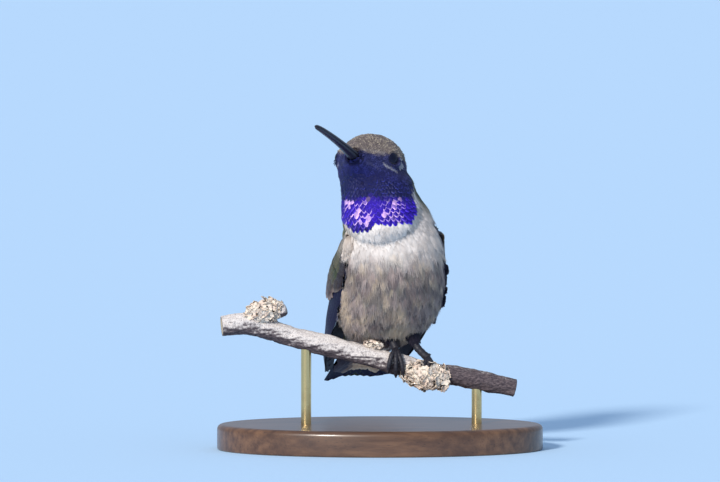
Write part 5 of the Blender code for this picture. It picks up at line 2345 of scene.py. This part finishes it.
@dataclass
class Foot:
    """A perching foot: three toes in front and one behind, scaled and clawed."""

    side: Side
    along: float
    toe: float = 0.50
    claw: float = 0.27
    spread: float = 1.4
    wrap_front: float = 145.0
    wrap_back: float = 100.0
    scales: int = 11
    shank: float = 0.76
    shank_scales: int = 9
    grip: float = 0.3

    def toe_line(self, aside: float, wrap: float, share: Array) -> Array:
        """Wraps a toe round the branch.

        Args:
            aside: How far its tip goes along the branch.
            wrap: Degrees that it goes round, less than 0 for the one behind.
            share: Shares of its length.

        Returns:
            Its middle line.
        """
        angle = np.radians(wrap) * (0.10 + 0.90 * share)
        x = self.along + aside * np.sin(share * math.pi / 2)
        away = branch_radius(x) + self.grip + self.toe - 0.12 * ramp(0.85, 1.0, share)
        return branch_centre(x) + away[:, None] * np.column_stack((np.zeros(len(x)), -np.sin(angle), np.cos(angle)))

    def add_toe(self, pile: MeshPile, aside: float, wrap: float) -> None:
        """Adds a scaled toe and its claw.

        Args:
            pile: Where they go.
            aside: How far the toe's tip goes along the branch.
            wrap: Degrees that it goes round, less than 0 for the one behind.
        """
        share = np.linspace(0, 1, 54)
        line = self.toe_line(aside, wrap, share)
        scute = 1 + 0.07 * np.sin(share * self.scales * 2 * math.pi) ** 3
        joint = 1 + 0.10 * np.exp(-(((share - 0.42) / 0.05) ** 2)) + 0.08 * np.exp(-(((share - 0.72) / 0.04) ** 2))
        radii = self.toe * (1.0 - 0.22 * share) * scute * joint
        radii[-3:] *= (0.96, 0.86, 0.6)
        pile.add(*ring_tube(line, radii, 12))
        tail, inward = unit(line[-1] - line[-4]), unit(branch_centre([line[-1][0]])[0] - line[-1])
        bends = ((0, -0.12), (0.45, -0.10), (0.95, 0.05), (1.3, 0.34), (1.45, 0.62))
        claw = smooth_rows([line[-3] + tail * a + inward * b for a, b in bends], 16)
        pile.add(*ring_tube(claw, self.claw * np.linspace(1.0, 0.08, len(claw)) ** 0.8, 10, 1.25))

    def add_shank(self, pile: MeshPile) -> None:
        """Adds the scaled leg from the thigh's end down to the toes.

        Args:
            pile: Where it goes.
        """
        leg = smooth_rows(LEG_LINES[self.side.word], 60)
        top = leg[leg[:, 2] < leg[-1, 2] + 3.0][:, :3]
        rise = branch_radius(self.along) + self.grip + self.toe * 0.9
        knuckle = branch_centre([self.along])[0] + np.array((0, 0.05, rise))
        line = smooth_rows([*top[:: max(len(top) // 4, 1)][:-1], 0.5 * (top[-1] + knuckle), knuckle], 40)
        share = np.linspace(0, 1, len(line))
        scute = 1 + 0.05 * np.sin(share * self.shank_scales * 2 * math.pi) ** 3
        radii = self.shank * scute * (1 + 0.25 * np.exp(-(((share - 1.0) / 0.12) ** 2)))
        radii[0] *= 0.7
        pile.add(*ring_tube(line, radii, 14))

    def build(self) -> Mesh:
        """Gathers toes, claws and shank.

        Returns:
            Their mesh.
        """
        pile, side_wrap = MeshPile(), 0.86 * self.wrap_front
        toes = ((-self.spread, side_wrap), (0.0, self.wrap_front), (self.spread, side_wrap), (0.1, -self.wrap_back))
        for aside, wrap in toes:
            self.add_toe(pile, aside, wrap)
        self.add_shank(pile)
        return face_out(pile.mesh("toes"))

    def dress(self) -> None:
        """Shows the foot."""
        present(self.build(), f"foot_{self.side.word}_toes", TOE_HORN, [f"foot_{self.side.word}"])


# ---------------- branch, lichen and stand


@dataclass
class Branch:
    """The cut length of branch with its broken twig stub."""

    stub: tuple[Place, ...] = ((-26.5, -0.8, 25.4), (-22.5, -1.0, 26.4), (-18.3, -1.2, 27.7))
    stub_radius: float = 1.25
    rows: int = 420
    sides: int = 72
    cut_rings: int = 14
    cut_sides: int = 64

    def rough_tube(self, line: Array, radii: Array, seed: float, rough: float) -> tuple[Array, Faces]:
        """Draws a tube with bark ridges.

        Args:
            line: Middle points.
            radii: One for each point.
            seed: Picks the bark's noise.
            rough: How strong the ridges are.

        Returns:
            Its points and faces.
        """
        points, faces = ring_tube(line, radii, self.sides)
        body = points[:-2]
        out = unit(body - np.repeat(line, self.sides, axis=0))
        ridge = wobble(body, (0.30, 1.1, 1.1), seed, 4)
        lump = wobble(body, 0.28, seed + 3)
        grain = wobble(body, (0.9, 2.6, 2.6), seed + 5, 2)
        body = body + out * (rough * (0.20 * ridge + 0.12 * lump + 0.07 * grain))[:, None]
        return np.vstack((body, points[-2:])), faces

    def build(self) -> Mesh:
        """Builds the branch and its stub; the sawn faces are pieces of their own.

        Returns:
            Their mesh.
        """
        pile = MeshPile()
        line = smooth_rows(BRANCH_LINE, self.rows)
        radii = branch_radius(line[:, 0]) + 0.14 * np.exp(-(((line[:, 0] - 21.5) / 1.1) ** 2))
        pile.add(*self.rough_tube(line, radii, 51.0, 1.0))
        share = np.linspace(0, 1, 110)
        radii = self.stub_radius + 0.3 * (1 - share)
        radii = radii * np.sqrt(np.clip(1 - np.clip((share - 0.93) / 0.07, 0, 1) ** 2 * 0.8, 0, 1))
        pile.add(*self.rough_tube(smooth_rows(self.stub, len(share)), radii, 57.0, 1.3))
        return face_out(pile.mesh("branch_bark"))

    def build_cut(self, end: int) -> Mesh:
        """Builds a sawn end, a slightly domed disc.

        Args:
            end: 0 for the left one, 1 for the right.

        Returns:
            Its mesh, with its distance and turn values.
        """
        line = smooth_rows(BRANCH_LINE, self.rows)
        centre, before = (line[0], line[3]) if end == 0 else (line[-1], line[-4])
        out = unit(centre - before)
        across = unit(np.cross(out, (0, 0, 1.0)))
        up, dome = np.cross(across, out), 0.06
        rings, sides = self.cut_rings, self.cut_sides
        far = np.repeat(np.arange(1, rings + 1) / rings, sides)[:, None]
        angle = np.tile(full_turn(sides), rings)[:, None]
        reach = branch_radius(centre[0]) * 0.965 * far * (1 + 0.02 * np.sin(3 * angle + 1) * far)
        points = centre + reach * (np.cos(angle) * across + np.sin(angle) * up) + out * (dome - 0.05 * far**4)
        values = np.hstack((far, angle / (2 * math.pi), np.zeros(far.shape)))
        faces = [(face[0], *face[:0:-1]) for face in disc_faces(rings, sides)]
        pile = MeshPile()
        pile.add(np.vstack((centre + out * dome, points)), faces, vane=np.vstack((np.zeros(3), values)))
        return pile.mesh("branch_cut")

    def dress(self) -> None:
        """Shows the branch and its two sawn ends."""
        present(self.build(), "branch_bark", Bark("weathered_bark", "bark"), ["perch_branch"])
        for end in (0, 1):
            present(self.build_cut(end), f"branch_cut_{end}", CutWood("sawn_wood", "bark"))


class LobeForm(Enum):
    """Three forms of lichen lobe: ruffle waves and how far the rim curls down."""

    RUFFLED = (5, 0.46)
    DOMED = (3, 0.66)
    FLAT = (7, 0.34)


@dataclass(frozen=True)
class Lobe:
    """One lichen lobe of size 1, growing along +Y from the origin."""

    form: LobeForm
    columns: int = 8
    rows: int = 3

    def mesh(self) -> Mesh:
        """Draws a ruffled fan with thickness at its rim.

        Returns:
            Its mesh, with its own across and along values.
        """
        waves, cup = self.form.value
        values = vane_grid(np.linspace(-1, 1, self.columns + 1), np.linspace(0, 1, self.rows + 1))
        u, v, flat = values.T
        angle, reach = u * 1.15, v * (1 + 0.14 * np.sin(waves * u * 2.4 + 1))
        z = 0.55 * v - cup * v**3 * (1.0 + 0.5 * np.abs(u)) + 0.12 * v**2 * np.sin(waves * u * 3.0)
        top = np.column_stack((reach * np.sin(angle) * (0.35 + 0.65 * v), reach * np.cos(angle), z))
        low = top - np.column_stack((flat, flat, 0.10 + 0.12 * (1 - v)))
        faces, count = flat_faces(self.rows + 1, self.columns + 1), len(top)
        faces += turned_over(faces, count)
        rim = range(self.rows * (self.columns + 1), count - 1)
        faces += [(count + c, count + c + 1, c + 1, c) for c in rim]
        made = plain_mesh(f"lobe_{self.form.name.lower()}", np.vstack((top, low)), faces, 1.0)
        add_attribute(made, "vane", np.vstack((values, values * (1, 0.45, 1))))
        return made


@dataclass
class LichenClump:
    """A clump of lobes on a dark core, which shows between the lobes as their dark undersides and as painted shade."""

    name: str
    node: str
    centre: Place
    reach: Place
    slope: float
    lobes: int = 420
    size: float = 0.95
    seed: int = 5
    core_rings: int = 22
    core_sides: int = 32

    def leaned(self, rows: Array) -> Array:
        """Directions leaned with the branch."""
        return rows @ np.array(Matrix.Rotation(math.radians(self.slope), 3, "Y")).T

    def place(self, out: Array, swell: Array) -> Array:
        """World places on its lumpy form, in directions from its centre and at shares of its reach."""
        swell = swell + 0.22 * wobble(out * self.reach, 0.50, self.seed, 2)
        return np.array(self.centre) + self.leaned(out * self.reach * swell[:, None])

    def roots(self) -> Roots:
        """Places the lobes all round the core.

        Returns:
            Their roots.
        """
        chance = np.random.default_rng(self.seed)
        k = np.arange(self.lobes)
        height = 1 - 2 * (k + 0.5) / self.lobes
        turn = k * math.pi * (3 - math.sqrt(5)) + 0.5 * chance.random(self.lobes)
        out = np.column_stack((np.sqrt(1 - height**2) * np.cos(turn), np.sqrt(1 - height**2) * np.sin(turn), height))
        points, normals = self.place(out, np.full(self.lobes, 0.74)), self.leaned(unit(out / self.reach))
        flow = unit(chance.normal(size=(self.lobes, 3)) + (0, 0, 0.25))
        sizes = self.size * (0.65 + 0.6 * chance.random((self.lobes, 1))) * np.ones(3)
        lift = np.radians(2 + 34 * chance.random(self.lobes))
        places = np.column_stack((turn % (2 * math.pi) / (2 * math.pi) * 0.96, 0.48 + 0.46 * height))
        blank = np.full((self.lobes, 3), 0.5)
        return Roots(points, normals, flat_on(flow, normals), sizes, lift, places, blank, blank)

    def build_core(self) -> Mesh:
        """Draws the lumpy dark core under the lobes, partly painted shade between them.

        Returns:
            Its mesh.
        """
        angle, turn = np.linspace(0, math.pi, self.core_rings)[:, None], full_turn(self.core_sides)
        wide, long = np.sin(angle), np.cos(angle) * np.ones(self.core_sides)
        out = np.stack((long, wide * np.cos(turn), wide * np.sin(turn)), axis=-1).reshape(-1, 3)
        points = self.place(out, 0.64 + 0.05 * wobble(out * self.reach, 1.7, self.seed))
        pile = MeshPile()
        pile.add(points, flat_faces(self.core_rings, self.core_sides, closed=True), vane=(0.0, 0.05, 0.0))
        return face_out(pile.mesh(self.name + "_core"), WELD)

    def dress(self) -> None:
        """Shows the clump."""
        shapes = [Lobe(form).mesh() for form in LobeForm]
        crust = LichenCrust("dry_lichen", "lichen")
        # the core's near-black finish: dark undersides and painted shade between the lobes
        shade = LichenCrust("lichen_core", "lichen", pale=(0.10, 0.08, 0.07), pink=(0.07, 0.05, 0.05))
        mesh = Planting(f"plant_{self.name}", jitter=0.25, seed=self.seed).grow(self.roots(), shapes, crust, self.name)
        present(mesh, self.name, crust, [self.node] if self.node else [])
        present(self.build_core(), self.name + "_core", shade)


@dataclass
class Stand:
    """Oval wooden base and two brass rods up to the branch."""

    half_length: float = 32.0
    half_depth: float = 21.0
    height: float = 5.0
    bevel: float = 1.0
    foot_bevel: float = 0.4
    rod_radius: float = 1.0
    rod_x: tuple[float, float] = (-14.5, 19.0)
    rod_foot: float = 2.0
    rod_rows: int = 40
    rod_sides: int = 48
    sides: int = 160

    def build_base(self) -> Mesh:
        """Draws the base as rings of a soft-edged profile.

        Returns:
            Its closed mesh.
        """
        corner, low = np.linspace(0, math.pi / 2, 6), self.bevel * self.foot_bevel
        rings = [(share, 0.0, 0.0) for share in (0.0, 0.55, 0.94)]
        rings += [(1.0, -low * (1 - math.sin(a)), low * (1 - math.cos(a))) for a in corner]
        rings += [(1.0, 0.0, self.height * 0.5)]
        rings += [(1.0, -self.bevel * (1 - math.cos(a)), self.height - self.bevel * (1 - math.sin(a))) for a in corner]
        rings += [(share, 0.0, self.height) for share in (0.93, 0.6, 0.25, 0.0)]
        turn, points = full_turn(self.sides), []
        for share, inset, z in rings:
            a, b = self.half_length * share + inset, self.half_depth * share + inset
            points.append(np.column_stack((a * np.cos(turn), b * np.sin(turn), np.full(self.sides, z))))
        mesh = plain_mesh("base_oval", np.vstack(points), flat_faces(len(rings), self.sides, closed=True))
        return face_out(mesh, WELD)

    def build_rod(self, x: float) -> Mesh:
        """Draws a round rod from inside the base up into the branch.

        Args:
            x: Where it stands.

        Returns:
            Its mesh.
        """
        _, y, top = branch_centre([x])[0]
        heights = np.linspace(self.rod_foot, top - 0.4, self.rod_rows)
        line = np.column_stack((np.full(self.rod_rows, x), np.full(self.rod_rows, y), heights))
        points, faces = ring_tube(line, np.full(self.rod_rows, self.rod_radius), self.rod_sides, up=(0.0, 1.0, 0.0))
        return face_out(plain_mesh("rod", points, faces))

    def dress(self) -> None:
        """Shows base and rods."""
        present(self.build_base(), "base_oval", StainedWood("stained_wood", "wood"), ["stand_base"])
        for x, word in zip(self.rod_x, ("left", "right")):
            present(self.build_rod(x), f"rod_{word}", PolishedBrass("polished_brass", "brass"), [f"stand_rod_{word}"])


# ---------------- studio


@dataclass
class Studio:
    """Floor, lights and camera."""

    target: Place = (-3.92, 0.0, 40.96)
    azimuth: float = 0.0
    elevation: float = 3.0
    distance: float = 1500.0
    lens: float = 382.4
    sensor: float = 36.0
    floor_start: float = 60.0
    floor_radius: float = 9000.0
    floor_rings: int = 24
    floor_sides: int = 96
    lamp_aim: Place = (0.0, 0.0, 42.0)
    surround: Colour = (0.60, 0.76, 1.0)
    surround_strength: float = 0.60

    def build_floor(self) -> None:
        """A wide round floor of one pale tone."""
        radii = np.repeat(np.geomspace(self.floor_start, self.floor_radius, self.floor_rings), self.floor_sides)
        turn = np.tile(full_turn(self.floor_sides), self.floor_rings)
        points = np.column_stack((radii * np.cos(turn), radii * np.sin(turn), np.zeros(len(turn))))
        faces = disc_faces(self.floor_rings, self.floor_sides)
        mesh = plain_mesh("studio_floor", np.vstack((np.zeros(3), points)), faces)
        mesh.materials.append(Paper("studio_paper", "").material())
        add_object("studio_floor", mesh)

    def add_lamp(self, name: str, kind: str, place: Place, way: Vector, colour: Colour, **settings: float) -> None:
        """Adds a light.

        Args:
            name: Its name.
            kind: Its type.
            place: Where it is, in millimetres.
            way: Direction that it shines in.
            colour: Its colour.
            **settings: Its power and size.
        """
        lamp = bpy.data.lights.new(name, kind)
        lamp.color = colour
        for key, value in settings.items():
            setattr(lamp, key, value)
        host = add_object(name, lamp)
        host.location = Vector(place) * MM
        host.rotation_euler = way.to_track_quat("-Z", "Y").to_euler()

    def add_softbox(self, name: str, place: Place, size: float, power: float, colour: Colour) -> None:
        """A square soft light aimed at the bird."""
        way = Vector(self.lamp_aim) - Vector(place)
        self.add_lamp(name, "AREA", place, way, colour, energy=power, size=size)

    def set_world(self) -> None:
        """An even pale surround."""
        world = bpy.data.worlds.new("studio_surround")
        world.use_nodes = True
        shade = world.node_tree.nodes["Background"]
        shade.inputs[0].default_value = (*self.surround, 1.0)
        shade.inputs[1].default_value = self.surround_strength
        bpy.context.scene.world = world

    def set_camera(self) -> None:
        """The camera, level with the bird's breast."""
        lens = bpy.data.cameras.new("camera")
        lens.sensor_width, lens.lens = self.sensor, self.lens
        lens.clip_start, lens.clip_end = 0.01, 50.0
        camera = add_object("camera", lens)
        turn, rise = math.radians(self.azimuth), math.radians(self.elevation)
        away = Vector((math.sin(turn) * math.cos(rise), -math.cos(turn) * math.cos(rise), math.sin(rise)))
        camera.location = (Vector(self.target) + away * self.distance) * MM
        camera.rotation_euler = (-away).to_track_quat("-Z", "Y").to_euler()
        bpy.context.scene.camera = camera

    def build(self) -> None:
        """Sets up the whole studio."""
        self.build_floor()
        self.set_world()
        self.set_camera()
        shine, warm, spread = Vector((0.49, 0.94, -0.53)), (1.0, 0.94, 0.87), math.radians(8.0)
        self.add_lamp("key", "SUN", (0.0, 0.0, 0.0), shine, warm, energy=3.42, angle=spread)
        self.add_softbox("fill", (520.0, -620.0, 160.0), 420.0, 0.9, (0.96, 0.96, 1.0))
        self.add_softbox("rim", (-260.0, 620.0, 520.0), 300.0, 1.6, (1.0, 0.97, 0.93))
        view = bpy.context.scene.view_settings
        view.view_transform, view.look, view.exposure, view.gamma = "Standard", "None", 0.0, 1.0


def main() -> None:
    """Builds the bird, its perch and its stand, and reports each piece."""
    logging.basicConfig(level=logging.INFO, format="%(name)s %(message)s")
    Studio().build()
    Coat(*BodySkin().dress()).dress()
    for side in Side:
        Wing(side).dress()
        Eye(side).dress()
    Tail().dress()
    Bill().dress()
    Foot(Side.LEFT, 9.5).dress()
    Foot(Side.RIGHT, 3.1).dress()
    Branch().dress()
    LichenClump("lichen_upper", "perch_lichen_upper", (-22.7, -1.2, 27.1), (4.8, 2.9, 2.5), -15.0, 420, 0.86, 5).dress()
    LichenClump("lichen_lower", "perch_lichen_lower", (9.1, -1.3, 14.5), (5.9, 3.1, 3.0), 12.0, 560, 0.86, 8).dress()
    LichenClump("lichen_tuft", "", (-1.4, -0.3, 20.6), (1.9, 1.1, 0.8), 14.0, 90, 0.55, 11).dress()
    Stand().dress()


if __name__ == "__main__":
    main()
